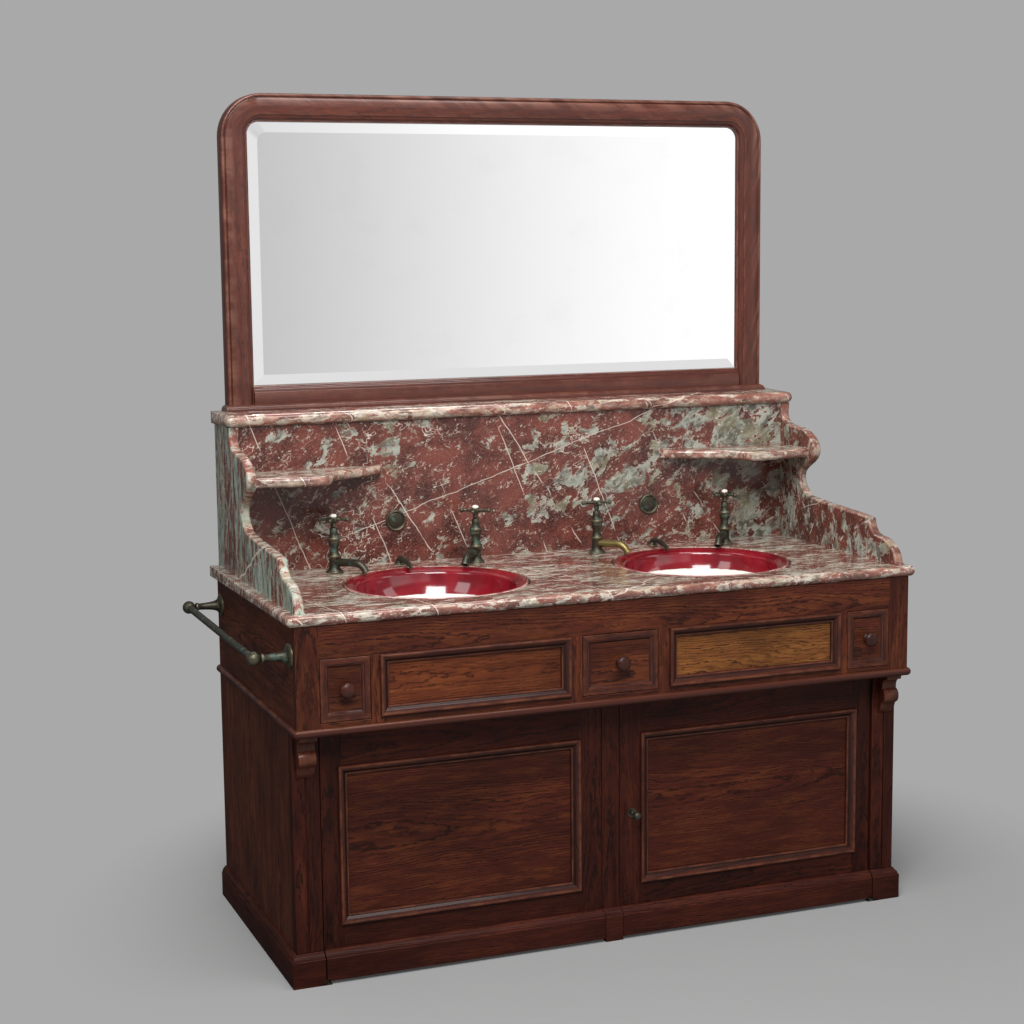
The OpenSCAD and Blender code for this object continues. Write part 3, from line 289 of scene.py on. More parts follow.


# early and late are the soft and hard bands of a year's growth, glow the warmer streaks, edge the rubbed
# arris with its painted highlight (all four as screen values), and dim the value of the darkest cloud
woods = {
    "darkWood": dict(early=(79, 36, 24), late=(42, 17, 11), glow=(98, 51, 29), edge=(104, 56, 40),
                     spacing=0.0036, warp=0.009, dim=0.62, rough=0.44, gloss=0.13, coat=0.03),
    # darkWood made darker, as painted shade on the lower storey under the overhang
    "shadedLowerWood": dict(early=(57, 22, 15), late=(31, 11, 8), glow=(70, 30, 18), edge=(82, 40, 29),
                      spacing=0.0036, warp=0.009, dim=0.62, rough=0.46, gloss=0.11, coat=0.02),
    "mouldingWood": dict(early=(63, 26, 18), late=(37, 14, 10), glow=(75, 34, 20), edge=(112, 64, 42),
                         spacing=0.0034, warp=0.003, dim=0.8, rough=0.42, gloss=0.13, coat=0.2),
    "doorPanelWood": dict(early=(68, 28, 19), late=(37, 14, 9), glow=(86, 42, 23), edge=(100, 54, 38),
                          spacing=0.0038, warp=0.014, dim=0.62, rough=0.44, gloss=0.11, coat=0.02),
    "brownPanelWood": dict(early=(93, 45, 25), late=(50, 22, 13), glow=(110, 58, 31), edge=(120, 70, 44),
                           spacing=0.0036, warp=0.010, dim=0.72, rough=0.44, gloss=0.13, coat=0.03),
    "goldenPanelWood": dict(early=(114, 69, 35), late=(54, 30, 16), glow=(130, 83, 42), edge=(132, 84, 44),
                            spacing=0.0031, warp=0.014, dim=0.74, rough=0.44, gloss=0.13, coat=0.03),
    "knobWood": dict(early=(50, 20, 14), late=(32, 12, 8), glow=(62, 27, 17), edge=(88, 46, 34),
                     spacing=0.0034, warp=0.003, dim=0.8, rough=0.32, gloss=0.16, coat=0.16),
    "mahogany": dict(early=(74, 30, 19), late=(58, 23, 14), glow=(84, 38, 23), edge=(140, 96, 80),
                     spacing=0.003, warp=0.002, dim=0.88, rough=0.32, gloss=0.28, coat=0.36),
    "plainWood": dict(early=(152, 108, 74), late=(108, 68, 44), glow=(160, 114, 78), edge=(160, 120, 86),
                      spacing=0.0046, warp=0.008, dim=0.84, rough=0.6, gloss=0.2, coat=0.0),
}


def makeWood(name, look, turn=None, plank=0.0):
    finish, tree, shader = blankFinish(name)
    if turn is None:
        vector = add(tree, "Attribute", attribute_name="grain").outputs["Vector"]
    else:  # a carried-over part: its own axes, in the order along, across, deep
        parts = dict(zip("xyz", add(tree, "SeparateXYZ", {0: objectPlace(tree)}).outputs))
        order = dict(enumerate(parts[letter] for letter in turn))
        if plank:  # separate planks side by side, each with its own figure
            number = calc(tree, "FLOOR", calc(tree, "DIVIDE", order[1], plank))
            lot = add(tree, "TexWhiteNoise", {"W": number}, noise_dimensions="1D").outputs[0]
            order[0] = calc(tree, "MULTIPLY_ADD", lot, 7.0, order[0])
            seam = calc(tree, "FRACT", calc(tree, "DIVIDE", order[1], plank))
            seam = calc(tree, "ABSOLUTE", calc(tree, "SUBTRACT", seam, 0.5))
            order[1] = calc(tree, "MODULO", order[1], plank)
        order[2] = calc(tree, "ADD", order[2], 0.07)
        vector = add(tree, "CombineXYZ", order).outputs[0]
    grain = use(tree, woodGrain, Vector=vector, Spacing=look["spacing"], Warp=look["warp"])
    early, late, glow, edge = (tint(*look[key]) for key in ("early", "late", "glow", "edge"))
    patch = noise(tree, stretched(tree, vector, woodFigure["patch"]), 1.0, 4.0, 0.62)
    colour = mixed(tree, graded(tree, patch, 0.42, 0.66), early, glow)
    colour = mixed(tree, graded(tree, grain["Late"], 0.0, 0.85, 0.0, 0.96), colour, late)
    shade = graded(tree, grain["Cloud"], 0.34, 0.66, look["dim"], 1.16)
    streak = graded(tree, grain["Fibre"], 0.3, 0.7, 0.72, 1.2)
    depth = times(tree, shade, streak)
    colour = add(tree, "HueSaturation", {"Color": colour, "Value": depth}).outputs[0]
    if turn and plank:
        colour = mixed(tree, graded(tree, seam, 0.487, 0.495), colour, tint(24, 16, 12))
    marks = use(tree, edgeWearAndLight, Vector=vector, Scale=26.0)
    # edge colour on rubbed arrises, as wear and painted highlight
    colour = mixed(tree, times(tree, marks["WornAndLit"], 0.6), colour, edge)
    # near black in the quirks, as dirt and painted shade
    colour = mixed(tree, times(tree, marks["GrimeAndShade"], 0.85), colour, tint(14, 8, 6))
    height = calc(tree, "MULTIPLY_ADD", grain["Fibre"], 0.7, times(tree, grain["Late"], 0.5))
    rough = calc(tree, "MULTIPLY_ADD", grain["Fibre"], 0.16, look["rough"])
    feed(tree, shader, {
        "Base Color": colour, "Roughness": rough, "Normal": bumped(tree, height, 0.28, 0.0004),
        "Specular IOR Level": look["gloss"], "Coat Weight": look["coat"], "Coat Roughness": 0.16})
    return finish


def makeMarble(name, lean, flow, cover, paintedLightLift, rough, stone=tint(158, 164, 152), rise=0.0, coat=0.1):
    # lean turns the flow about Y, flow draws the figure out, rise adds patches to the right, paintedLightLift
    # scales the value as painted light and shade
    finish, tree, shader = blankFinish(name)
    place = add(tree, "Mapping", {"Vector": objectPlace(tree), "Scale": flow,
                                  "Rotation": (0, math.radians(lean), 0)}, vector_type="TEXTURE").outputs[0]
    figure = use(tree, marbleBody, Vector=place, Place=objectPlace(tree), Cover=cover,
                 Stone=stone, Rise=rise)
    rubbedAndLit = use(tree, edgeWearAndLight, Vector=place, Scale=40.0)["WornAndLit"]
    # painted light: each marble made lighter or darker by how lit its faces are
    colour = add(tree, "HueSaturation", {"Color": figure["Colour"], "Value": paintedLightLift}).outputs[0]
    # paler arrises, as wear and painted highlight
    colour = mixed(tree, times(tree, rubbedAndLit, 0.5), colour, tint(186, 150, 130))
    height = noise(tree, place, 900.0, 2.0, 0.5)
    shine = calc(tree, "MULTIPLY_ADD", figure["Pale"], 0.1, rough)
    feed(tree, shader, {
        "Base Color": colour, "Roughness": shine, "Normal": bumped(tree, height, 0.06, 0.0003),
        "Specular IOR Level": 0.3, "Coat Weight": coat, "Coat Roughness": 0.1})
    return finish


def makeMetal(name, base, bloom, rubbed, metallic, rough, bloomShare):
    finish, tree, shader = blankFinish(name)
    place = objectPlace(tree)
    marks = use(tree, patina, Vector=place)
    share = times(tree, marks["Bloom"], bloomShare)
    colour = mixed(tree, times(tree, marks["Rubbed"], 0.7), base, rubbed)
    colour = mixed(tree, share, colour, bloom)
    feed(tree, shader, {
        "Base Color": colour,
        "Metallic": calc(tree, "MULTIPLY_ADD", share, -0.6 * metallic, metallic),
        "Roughness": calc(tree, "ADD", calc(tree, "MULTIPLY_ADD", share, 0.35, rough),
                          times(tree, marks["Grain"], 0.12)),
        "Normal": bumped(tree, marks["Grain"], 0.25, 0.0003)})
    return finish


def makeGlaze(name, redDown, rimZ):  # deep red glaze down to redDown under the rim, then white ware
    finish, tree, shader = blankFinish(name)
    place = objectPlace(tree)
    height = add(tree, "SeparateXYZ", {0: place}).outputs["Z"]
    run = calc(tree, "MULTIPLY_ADD", noise(tree, place, 60.0, 3.0), 0.003, height)
    red = graded(tree, run, rimZ - redDown - 0.0002, rimZ - redDown + 0.0014)
    pool = noise(tree, place, 14.0, 3.0, 0.5)
    glaze = mixed(tree, graded(tree, pool, 0.35, 0.65), tint(102, 12, 24), tint(130, 22, 34))
    rubbedAndLit = use(tree, edgeWearAndLight, Vector=place, Scale=30.0)["WornAndLit"]
    # a pale pink line on the rim, as rubbed glaze and painted highlight
    glaze = mixed(tree, times(tree, rubbedAndLit, 0.9), glaze, tint(232, 200, 190))
    speck = graded(tree, noise(tree, place, 260.0, 2.0, 0.5), 0.70, 0.74, 0.0, 0.35)
    ware = mixed(tree, speck, tint(226, 222, 214), tint(176, 160, 140))
    feed(tree, shader, {
        "Base Color": mixed(tree, red, ware, glaze), "Roughness": graded(tree, pool, 0, 1, 0.08, 0.16),
        "Normal": bumped(tree, pool, 0.05, 0.002), "Coat Weight": 0.6, "Coat Roughness": 0.04})
    return finish


def makeWare(name, pale, stain, rough):  # plain white or cream glazed ware with faint stains
    finish, tree, shader = blankFinish(name)
    place = objectPlace(tree)
    dirt = graded(tree, noise(tree, place, 38.0, 4.0, 0.6), 0.52, 0.7, 0.0, 0.6)
    feeds = {"Vector": place, "Scale": 240.0}
    crackle = add(tree, "TexVoronoi", feeds, feature="DISTANCE_TO_EDGE").outputs[0]
    lines = graded(tree, crackle, 0.05, 0.0, 0.0, 0.25)
    colour = mixed(tree, calc(tree, "MAXIMUM", dirt, lines), pale, stain)
    feed(tree, shader, {"Base Color": colour, "Roughness": calc(tree, "MULTIPLY_ADD", dirt, 0.2, rough),
                        "Normal": bumped(tree, crackle, 0.04, 0.0003), "Coat Weight": 0.5})
    return finish


def makeSilvering(name, tone):  # mirror glass with a trace of bloom near its edges
    finish, tree, shader = blankFinish(name)
    place = objectPlace(tree)
    haze = graded(tree, noise(tree, place, 9.0, 4.0, 0.6), 0.5, 0.8, 0.0, 0.08)
    colour = mixed(tree, haze, tone, tint(200, 200, 196))
    feed(tree, shader, {"Base Color": colour, "Metallic": 1.0,
                        "Roughness": calc(tree, "MULTIPLY_ADD", haze, 0.6, 0.015)})
    return finish


planks = {  # carried-over boards: order of the axes along, across and deep, and the width of a plank
    "backPlanks": dict(turn="zxy", plank=142 * mm), "shelfPlanks": dict(turn="xyz", plank=118 * mm),
    "sideBoards": dict(turn="yzx"),
}
# paintedLightLift: painted light, highest on the top slab and the left gallery, lower on the right gallery's
# shaded inner face
marbles = {
    "slabMarble": dict(lean=0, flow=(1.1, 0.32, 0.5), cover=0.7, paintedLightLift=1.38, rough=0.16, coat=0.5,
                       stone=tint(180, 175, 162)),
    "uprightMarble": dict(lean=-30, flow=(1.25, 1.0, 0.9), cover=0.5, paintedLightLift=1.04, rough=0.2, rise=0.1),
    "sideMarbleLeft": dict(lean=0, flow=(1.0, 0.36, 1.5), cover=0.86, paintedLightLift=1.3, rough=0.22,
                           stone=tint(146, 172, 160)),
    "sideMarbleRight": dict(lean=0, flow=(1.0, 0.75, 1.15), cover=0.6, paintedLightLift=1.02, rough=0.22),
}
metals = {
    "bronze": dict(base=tint(66, 63, 53), bloom=tint(80, 104, 94), rubbed=tint(124, 113, 90),
                   metallic=0.8, rough=0.38, bloomShare=0.7),
    "wornBrass": dict(base=tint(128, 113, 70), bloom=tint(92, 98, 70), rubbed=tint(178, 162, 108),
                      metallic=0.86, rough=0.36, bloomShare=0.45),
    "brass": dict(base=tint(138, 112, 66), bloom=tint(98, 86, 58), rubbed=tint(186, 158, 104),
                  metallic=0.9, rough=0.34, bloomShare=0.4),
}
redDown = {"left": 57 * mm, "right": 46 * mm}  # how far the red glaze reaches below each bowl's rim

finishes = {name: makeWood(name, look) for name, look in woods.items()}
finishes.update({name: makeWood(name, woods["plainWood"], **look) for name, look in planks.items()})
finishes.update({name: makeMarble(name, **look) for name, look in marbles.items()})
finishes.update({name: makeMetal(name, **look) for name, look in metals.items()})
for side, depth in redDown.items():
    finishes["glaze" + side.title()] = makeGlaze("glaze" + side.title(), depth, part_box("bowl_" + side)[1].z)
finishes.update({
    "stoneware": makeWare("stoneware", tint(206, 200, 186), tint(168, 150, 122), 0.22),
    "porcelain": makeWare("porcelain", tint(236, 232, 222), tint(206, 192, 166), 0.14),
    "silvering": makeSilvering("silvering", tint(250, 250, 250)),
    "bevelSilvering": makeSilvering("bevelSilvering", tint(252, 252, 252)),
})
print("finishes:", len(finishes))


# Mesh building. Every vertex has a grain place and every face corner an edge mark: wear and painted highlight
# above 0, dirt and painted shade below 0. Profiles and sections are lists of (out, up, wearAndLight) in
# millimetres, with the mark left out where there is none. All other lengths are in metres.
def layersOf(mesh):  # the grain and edge layers, made where they are missing
    kinds = (("grain", mesh.verts.layers.float_vector), ("edge", mesh.loops.layers.float))
    return [kind.get(name) or kind.new(name) for name, kind in kinds]


def startMesh():
    mesh = bmesh.new()
    layersOf(mesh)
    return mesh


def setWearAndLight(mesh, rule):  # sets every edge mark from its place and its mark so far
    edge = layersOf(mesh)[1]
    for face in mesh.faces:
        for loop in face.loops:
            loop[edge] = rule(loop.vert.co, loop[edge])


def withWearAndLight(points, wearAndLight):  # the points with one edge mark for all
    return [(x, y, wearAndLight) for x, y in points]


def spot(point, degrees=0, axis="Z"):  # a place, turned about one axis
    return Matrix.Translation(point) @ Matrix.Rotation(math.radians(degrees), 4, axis)


def grainShift(spread=0.03):
    return Vector((chance.uniform(-4, 4), chance.uniform(-spread, spread), chance.uniform(0.045, 0.1)))


def setGrain(mesh, verts, centre, along, face, spread=0.03):
    a, f = "xyz".index(along), "xyz".index(face)
    c = 3 - a - f
    layer = mesh.verts.layers.float_vector["grain"]
    shift = grainShift(spread)
    for vert in verts:
        away = vert.co - centre
        vert[layer] = Vector((away[a], away[c], away[f])) + shift


def markEdge(mesh, face):
    layer = mesh.loops.layers.float["edge"]
    for loop in face.loops:
        loop[layer] = 1.0


def board(mesh, low, high, along="x", face="y", chamfer=0.8 * mm, slot=0, spread=0.03):
    low, high = Vector(low), Vector(high)
    centre, half = (low + high) / 2, (high - low) / 2
    cut = min(chamfer, 0.4 * min(half))
    vert = {}
    for signs in itertools.product((-1, 1), repeat=3):
        for axis in range(3):
            place = [signs[i] * (half[i] - (0 if i == axis else cut)) for i in range(3)]
            vert[signs, axis] = mesh.verts.new(centre + Vector(place))
    faces = []
    for axis in range(3):
        b, c = [i for i in range(3) if i != axis]

        def corner(sign, sb, sc):
            signs = {axis: sign, b: sb, c: sc}
            return tuple(signs[i] for i in range(3))
        for sign in (-1, 1):
            ring = [vert[corner(sign, *rest), axis] for rest in ((-1, -1), (1, -1), (1, 1), (-1, 1))]
            faces.append(mesh.faces.new(ring))
        for rest in itertools.product((-1, 1), repeat=2):  # chamfers that run along this axis
            first, last = corner(-1, *rest), corner(1, *rest)
            strip = mesh.faces.new([vert[first, b], vert[first, c], vert[last, c], vert[last, b]])
            markEdge(mesh, strip)
            faces.append(strip)
    for signs in itertools.product((-1, 1), repeat=3):
        tip = mesh.faces.new([vert[signs, axis] for axis in range(3)])
        markEdge(mesh, tip)
        faces.append(tip)
    for item in faces:
        item.material_index = slot
    setGrain(mesh, vert.values(), centre, along, face, spread)


# A moulding along a path: each straight stretch is a closed length of its own, mitred to the next. Out is
# to the right of the way along the path, and scales widen or narrow a stretch.
def sweep(mesh, section, path, rise, closed=False, slot=0, scales=None):
    path = [Vector(point) for point in path]
    count = len(path)
    stretches = count if closed else count - 1
    scales = scales or [1.0] * stretches
    steps = [(path[(i + 1) % count] - path[i]).normalized() for i in range(stretches)]
    outs = [step.cross(rise).normalized() for step in steps]
    grain, edge = layersOf(mesh)
    wearsAndLight = [point[2] if len(point) > 2 else 0.0 for point in section]
    section = [(point[0] * mm, point[1] * mm) for point in section]

    def mitre(i):
        before = (i - 1) % stretches if closed or i > 0 else 0
        after = i % stretches if closed or i < stretches else stretches - 1
        if before == after or abs(outs[before].dot(outs[after])) > 0.99:
            return outs[before] * scales[before]
        return outs[before] * scales[before] + outs[after] * scales[after]

    for i in range(stretches):
        shift = grainShift()
        rings = []
        for place in (i, i + 1):
            ring = []
            for out, up in section:
                vert = mesh.verts.new(path[place % count] + mitre(place) * out + rise * up)
                vert[grain] = Vector(((vert.co - path[i]).dot(steps[i]), out, up)) + shift
                ring.append(vert)
            rings.append(ring)
        for j in range(len(section)):
            k = (j + 1) % len(section)
            face = mesh.faces.new([rings[0][j], rings[0][k], rings[1][k], rings[1][j]])
            face.material_index = slot
            for loop, wearAndLight in zip(face.loops, (wearsAndLight[j], wearsAndLight[k], wearsAndLight[k], wearsAndLight[j])):
                loop[edge] = wearAndLight
        for ring in rings:
            mesh.faces.new(ring).material_index = slot


def turned(mesh, profile, place, steps, slot=0, ring=False):  # ring: the profile closes on itself
    grain, edge = layersOf(mesh)
    shift = grainShift(0.01)
    rows = []
    for point in profile:
        radius, height = point[0] * mm, point[1] * mm
        spots = 1 if radius < 1e-7 else steps
        row = []
        for i in range(spots):
            turn = math.tau * i / steps
            local = Vector((radius * math.cos(turn), radius * math.sin(turn), height))
            vert = mesh.verts.new(place @ local)
            vert[grain] = Vector((local.z, local.x, local.y)) + shift
            row.append(vert)
        rows.append(row)
    wearsAndLight = [point[2] if len(point) > 2 else 0.0 for point in profile]
    for j in range(len(rows) if ring else len(rows) - 1):
        k = (j + 1) % len(rows)
        for i in range(steps):
            n = (i + 1) % steps
            corners = []
            for row, wearAndLight in ((rows[j], wearsAndLight[j]), (rows[k], wearsAndLight[k])):
                pair = [row[0]] if len(row) == 1 else [row[i], row[n]]
                corners.append([(vert, wearAndLight) for vert in pair])
            loopOrder = corners[0] + corners[1][::-1]
            if len(loopOrder) < 3:
                continue
            face = mesh.faces.new([vert for vert, wearAndLight in loopOrder])
            face.material_index = slot
            for loop, (vert, wearAndLight) in zip(face.loops, loopOrder):
                loop[edge] = wearAndLight
    if not ring:
        for row in (rows[0], rows[-1]):
            if len(row) > 1:
                mesh.faces.new(row).material_index = slot


def cubic(a, b, c, d, count):
    points = []
    for i in range(count + 1):
        t = i / count
        s = 1 - t
        points.append(tuple(s ** 3 * p + 3 * s * s * t * q + 3 * s * t * t * r + t ** 3 * u
                            for p, q, r, u in zip(a, b, c, d)))
    return points


def arcPoints(centre, radii, start, end, count):  # start and end in degrees
    points = []
    for i in range(count + 1):
        turn = math.radians(start + (end - start) * i / count)
        points.append((centre[0] + radii[0] * math.cos(turn), centre[1] + radii[1] * math.sin(turn)))
    return points


def area(points):
    return sum(p[0] * q[1] - q[0] * p[1] for p, q in zip(points, points[1:] + points[:1])) / 2


def drawnIn(points, amounts):  # an outline moved to its left, by its own amount at each point
    result = []
    for i, here in enumerate(points):
        before, after = points[i - 1], points[(i + 1) % len(points)]
        sides = []
        for p, q in ((before, here), (here, after)):
            length = math.hypot(q[0] - p[0], q[1] - p[1]) or 1e-9
            sides.append((-(q[1] - p[1]) / length, (q[0] - p[0]) / length))
        x, y = sides[0][0] + sides[1][0], sides[0][1] + sides[1][1]
        share = max(1 + sides[0][0] * sides[1][0] + sides[0][1] * sides[1][1], 0.35)
        result.append((here[0] + x / share * amounts[i], here[1] + y / share * amounts[i]))
    return result


# A slab with rounded edges: outline and holes lie in the plane across its axis, and rounding(u, v)
# gives the edge radius at a point of the outline.
def slab(mesh, axis, low, high, outline, holes, rounding, holeRound=0.0, slot=0, *, steps):
    a = "xyz".index(axis)
    b, c = [i for i in range(3) if i != a]
    loops = [list(outline) if area(outline) > 0 else list(outline)[::-1]]
    loops += [list(hole) if area(hole) < 0 else list(hole)[::-1] for hole in holes]
    caps = {0: [], 1: []}
    edge = mesh.loops.layers.float["edge"]
    made = []
    for number, points in enumerate(loops):
        radii = [rounding(u, v) if number == 0 else holeRound for u, v in points]
        rings = []
        for end, level, sense in ((0, low, 1), (1, high, -1)):
            turns = range(steps + 1) if end == 0 else range(steps, -1, -1)
            for k in turns:
                turn = math.pi / 2 * k / steps
                inset = drawnIn(points, [r * (1 - math.sin(turn)) for r in radii])
                ring = []
                for (u, v), r in zip(inset, radii):
                    place = [0.0, 0.0, 0.0]
                    place[a], place[b], place[c] = level + sense * r * (1 - math.cos(turn)), u, v
                    ring.append(mesh.verts.new(place))
                rings.append(ring)
        made += [vert for ring in rings for vert in ring]
        for end, ring in ((0, rings[0]), (1, rings[-1])):
            caps[end] += [mesh.edges.new((ring[i - 1], ring[i])) for i in range(len(ring))]
        for lower, upper in zip(rings, rings[1:]):
            for i in range(len(points)):
                face = mesh.faces.new([lower[i - 1], lower[i], upper[i], upper[i - 1]])
                face.material_index = slot
                for loop, point in zip(face.loops, (i - 1, i, i, i - 1)):
                    loop[edge] = 1.0 if radii[point] > 0 else 0.0
    for end in caps:
        fill = bmesh.ops.triangle_fill(mesh, use_beauty=True, edges=caps[end])
        for face in fill["geom"]:
            if isinstance(face, bmesh.types.BMFace):
                face.material_index = slot
    return made


def sideOutline(node, axis):  # the outline of a carried-over plate, seen along its axis
    source = bmesh.new()
    source.from_mesh(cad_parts[node].data)
    bmesh.ops.remove_doubles(source, verts=source.verts, dist=1e-5)
    a = "xyz".index(axis)
    b, c = [i for i in range(3) if i != a]
    top = max(vert.co[a] for vert in source.verts)
    nextOf = {}
    for face in source.faces:
        if face.normal[a] > 0.9 and abs(face.calc_center_median()[a] - top) < 1e-4:
            for loop in face.loops:
                other = [f for f in loop.edge.link_faces if f != face]
                if other and abs(other[0].normal[a]) < 0.9:
                    nextOf[loop.vert] = loop.link_loop_next.vert
    outlines = []
    while nextOf:
        start = next(iter(nextOf))
        points, vert = [], start
        while vert in nextOf:
            points.append((vert.co[b], vert.co[c]))
            vert = nextOf.pop(vert)
        outlines.append(points)
    source.free()
    return outlines


def ringPoints(u, v, radius, count):
    turns = [math.tau * i / count for i in range(count)]
    return [(u + radius * math.cos(turn), v + radius * math.sin(turn)) for turn in turns]


def meshData(name, mesh):
    data = bpy.data.meshes.new(name)
    mesh.to_mesh(data)
    mesh.free()
    return data


def placed(name, data):
    item = bpy.data.objects.new(name, data)
    bpy.context.scene.collection.objects.link(item)
    return item


def evaluatedMesh(item):
    bpy.context.view_layer.update()
    return bpy.data.meshes.new_from_object(item.evaluated_get(bpy.context.evaluated_depsgraph_get()))


def finishPiece(name, data, body, nodes, materials=(), smooth=32):
    data.name = name
    for material in materials:
        data.materials.append(finishes[material])
    data.shade_smooth()
    data.set_sharp_from_angle(angle=math.radians(smooth))
    piece = placed(name, data)
    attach(piece, body)
    if nodes:
        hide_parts(*nodes)


def finishMesh(name, mesh, body, nodes, materials, smooth=32):
    bmesh.ops.recalc_face_normals(mesh, faces=mesh.faces)
    finishPiece(name, meshData(name, mesh), body, nodes, materials, smooth)


# Geometry Nodes: a round tube along a path, a turned form round its own axis, and screws on marked points.
def newTree(name, inputs):
    inputs = [("Geometry", "Geometry", None)] + inputs
    return newGroup(name, inputs, [("Geometry", "Geometry")], "GeometryNodeTree")


def grow(tree, kind, feeds=None, prefix="GeometryNode", **settings):
    return add(tree, kind, feeds, prefix, **settings).outputs[0]


def endTree(tree, result, geometry, material):
    real = grow(tree, "RealizeInstances", {"Geometry": geometry})
    plug(tree, result[0], grow(tree, "SetMaterial", {"Geometry": real, "Material": material}))
    return tree


def buildTubeTree():
    tree, given, result = newTree("tubeAlongPath", [("Radius", "Float", 0.008), ("Sides", "Int", 20),
                                                    ("Bend", "Float", 0.0), ("Finish", "Material", None)])
    curve = grow(tree, "FilletCurve", {"Curve": given["Geometry"], "Radius": given["Bend"], "Count": 9,
                                       "Limit Radius": True}, mode="POLY")
    circle = grow(tree, "CurvePrimitiveCircle", {"Resolution": given["Sides"], "Radius": given["Radius"]})
    tube = grow(tree, "CurveToMesh", {"Curve": curve, "Profile Curve": circle,
                                      "Scale": grow(tree, "InputRadius"), "Fill Caps": True})
    return endTree(tree, result, tube, given["Finish"])


def buildTurnedTree():
    tree, given, result = newTree("turnedForm", [("Sides", "Int", 96), ("Finish", "Material", None)])
    axis = grow(tree, "CurvePrimitiveCircle", {"Resolution": given["Sides"], "Radius": 1e-6})
    form = grow(tree, "CurveToMesh", {"Curve": axis, "Profile Curve": given["Geometry"]})
    joined = grow(tree, "MergeByDistance", {"Geometry": form, "Distance": 1e-5})
    return endTree(tree, result, joined, given["Finish"])


screwHead = {"deep": 1.2 * mm, "slotLong": 20 * mm, "slotDeep": 0.7 * mm, "slotShare": 0.22}


def buildScrewTree():
    tree, given, result = newTree("screwHeads", [("Radius", "Float", 0.003), ("Slot", "Float", 0.0006),
                                                 ("Seed", "Int", 3), ("Finish", "Material", None)])
    head = {"Vertices": 20, "Radius": given["Radius"], "Depth": screwHead["deep"]}
    head = grow(tree, "MeshCylinder", head)
    size = {"X": screwHead["slotLong"], "Y": given["Slot"], "Z": screwHead["slotDeep"]}
    size = grow(tree, "CombineXYZ", size, "ShaderNode")
    cut = grow(tree, "MeshCube", {"Size": size})
    cut = grow(tree, "Transform", {"Geometry": cut, "Translation": (0, 0, screwHead["deep"] / 2)})
    slotted = grow(tree, "MeshBoolean", {"Mesh 1": head, "Mesh 2": cut}, operation="DIFFERENCE")
    facing = grow(tree, "InputNamedAttribute", {"Name": "facing"}, data_type="FLOAT_VECTOR")
    aim = grow(tree, "AlignRotationToVector", {"Vector": facing}, "FunctionNode", axis="Z")
    turn = {"Min": (0, 0, 0), "Max": (0, 0, 3.1), "Seed": given["Seed"]}
    turn = grow(tree, "RandomValue", turn, "FunctionNode", data_type="FLOAT_VECTOR")
    points = grow(tree, "MeshToPoints", {"Mesh": given["Geometry"]})
    heads = grow(tree, "InstanceOnPoints", {"Points": points, "Instance": slotted, "Rotation": aim})
    heads = grow(tree, "RotateInstances", {"Instances": heads, "Rotation": turn})
    return endTree(tree, result, heads, given["Finish"])


tubeTree, turnedTree, screwTree = buildTubeTree(), buildTurnedTree(), buildScrewTree()


def grownMesh(source, tree, **values):
    modifier = source.modifiers.new("grow", "NODES")
    modifier.node_group = tree
    for item in tree.interface.items_tree:
        if item.in_out == "INPUT" and item.name in values:
            modifier[item.identifier] = values[item.name]
    data = evaluatedMesh(source)
    bpy.data.objects.remove(source)
    return data


def pathObject(paths):  # each path is a list of (point, width share)
    curve = bpy.data.curves.new("path", "CURVE")
    curve.dimensions = "3D"
    for path in paths:
        spline = curve.splines.new("POLY")
        spline.points.add(len(path) - 1)
        for knot, (point, width) in zip(spline.points, path):
            knot.co = (*point, 1.0)
            knot.radius = width
    return placed("path", curve)


def tubes(mesh, paths, radius, finish, sides, bend=0.0):  # goes first into an empty mesh
    data = grownMesh(pathObject(paths), tubeTree, Radius=radius, Sides=sides, Bend=bend,
                     Finish=finishes[finish])
    mesh.from_mesh(data)
    layersOf(mesh)
    for face in mesh.faces:
        face.material_index = 0
    bpy.data.meshes.remove(data)


def screws(name, body, spots, radius, finish):  # spots are (place, direction that the head faces)
    data = bpy.data.meshes.new(name)
    data.from_pydata([tuple(place) for place, facing in spots], [], [])
    layer = data.attributes.new("facing", "FLOAT_VECTOR", "POINT")
    layer.data.foreach_set("vector", [part for place, facing in spots for part in facing])
    made = grownMesh(placed(name, data), screwTree, Radius=radius, Slot=radius * screwHead["slotShare"],
                     Finish=finishes[finish])
    finishPiece(name + "Screws", made, body, [])


# ---- wooden base
base = {"drawerGap": 1.5 * mm, "plinthFront": 20 * mm, "plinthSide": 12 * mm, "floorGap": 8 * mm,
        "chamfer": 0.7 * mm, "sideChamfer": 0.35 * mm, "sideBoards": 3, "backRail": 14 * mm,
        "panelIn": (35 * mm, 28 * mm), "panelDown": 7 * mm}
frieze, doorRight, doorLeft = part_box("frieze_frame"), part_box("door_frame_right"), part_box("door_frame_left")
panelRight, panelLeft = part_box("door_panel_right"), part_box("door_panel_left")
pilasterBox, postBox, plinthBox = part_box("pilasters"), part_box("centre_post"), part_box("plinth")
sidePanel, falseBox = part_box("side_panel_right"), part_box("false_panels")
latchBox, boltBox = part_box("latch_case"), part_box("latch_bolt")
drawerBoxes = {side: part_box("drawer_front_" + side) for side in ("left", "middle", "right")}
sideX, friezeY, friezeBack = frieze[1].x, frieze[0].y, frieze[1].y
doorBack = doorRight[1].y
doorFace = doorBack - (friezeBack - friezeY)
soffitZ, railTopZ = frieze[0].z, frieze[1].z
plinthTop = plinthBox[1].z
falseX = (drawerBoxes["middle"][1].x + base["panelIn"][0], drawerBoxes["right"][0].x - base["panelIn"][1])
falseZ = (falseBox[0].z + base["panelDown"], falseBox[1].z - base["panelDown"])
pilaster = {"inner": 673.5 * mm, "proud": 6 * mm, "groove": 3 * mm, "chamfer": 1.0 * mm}


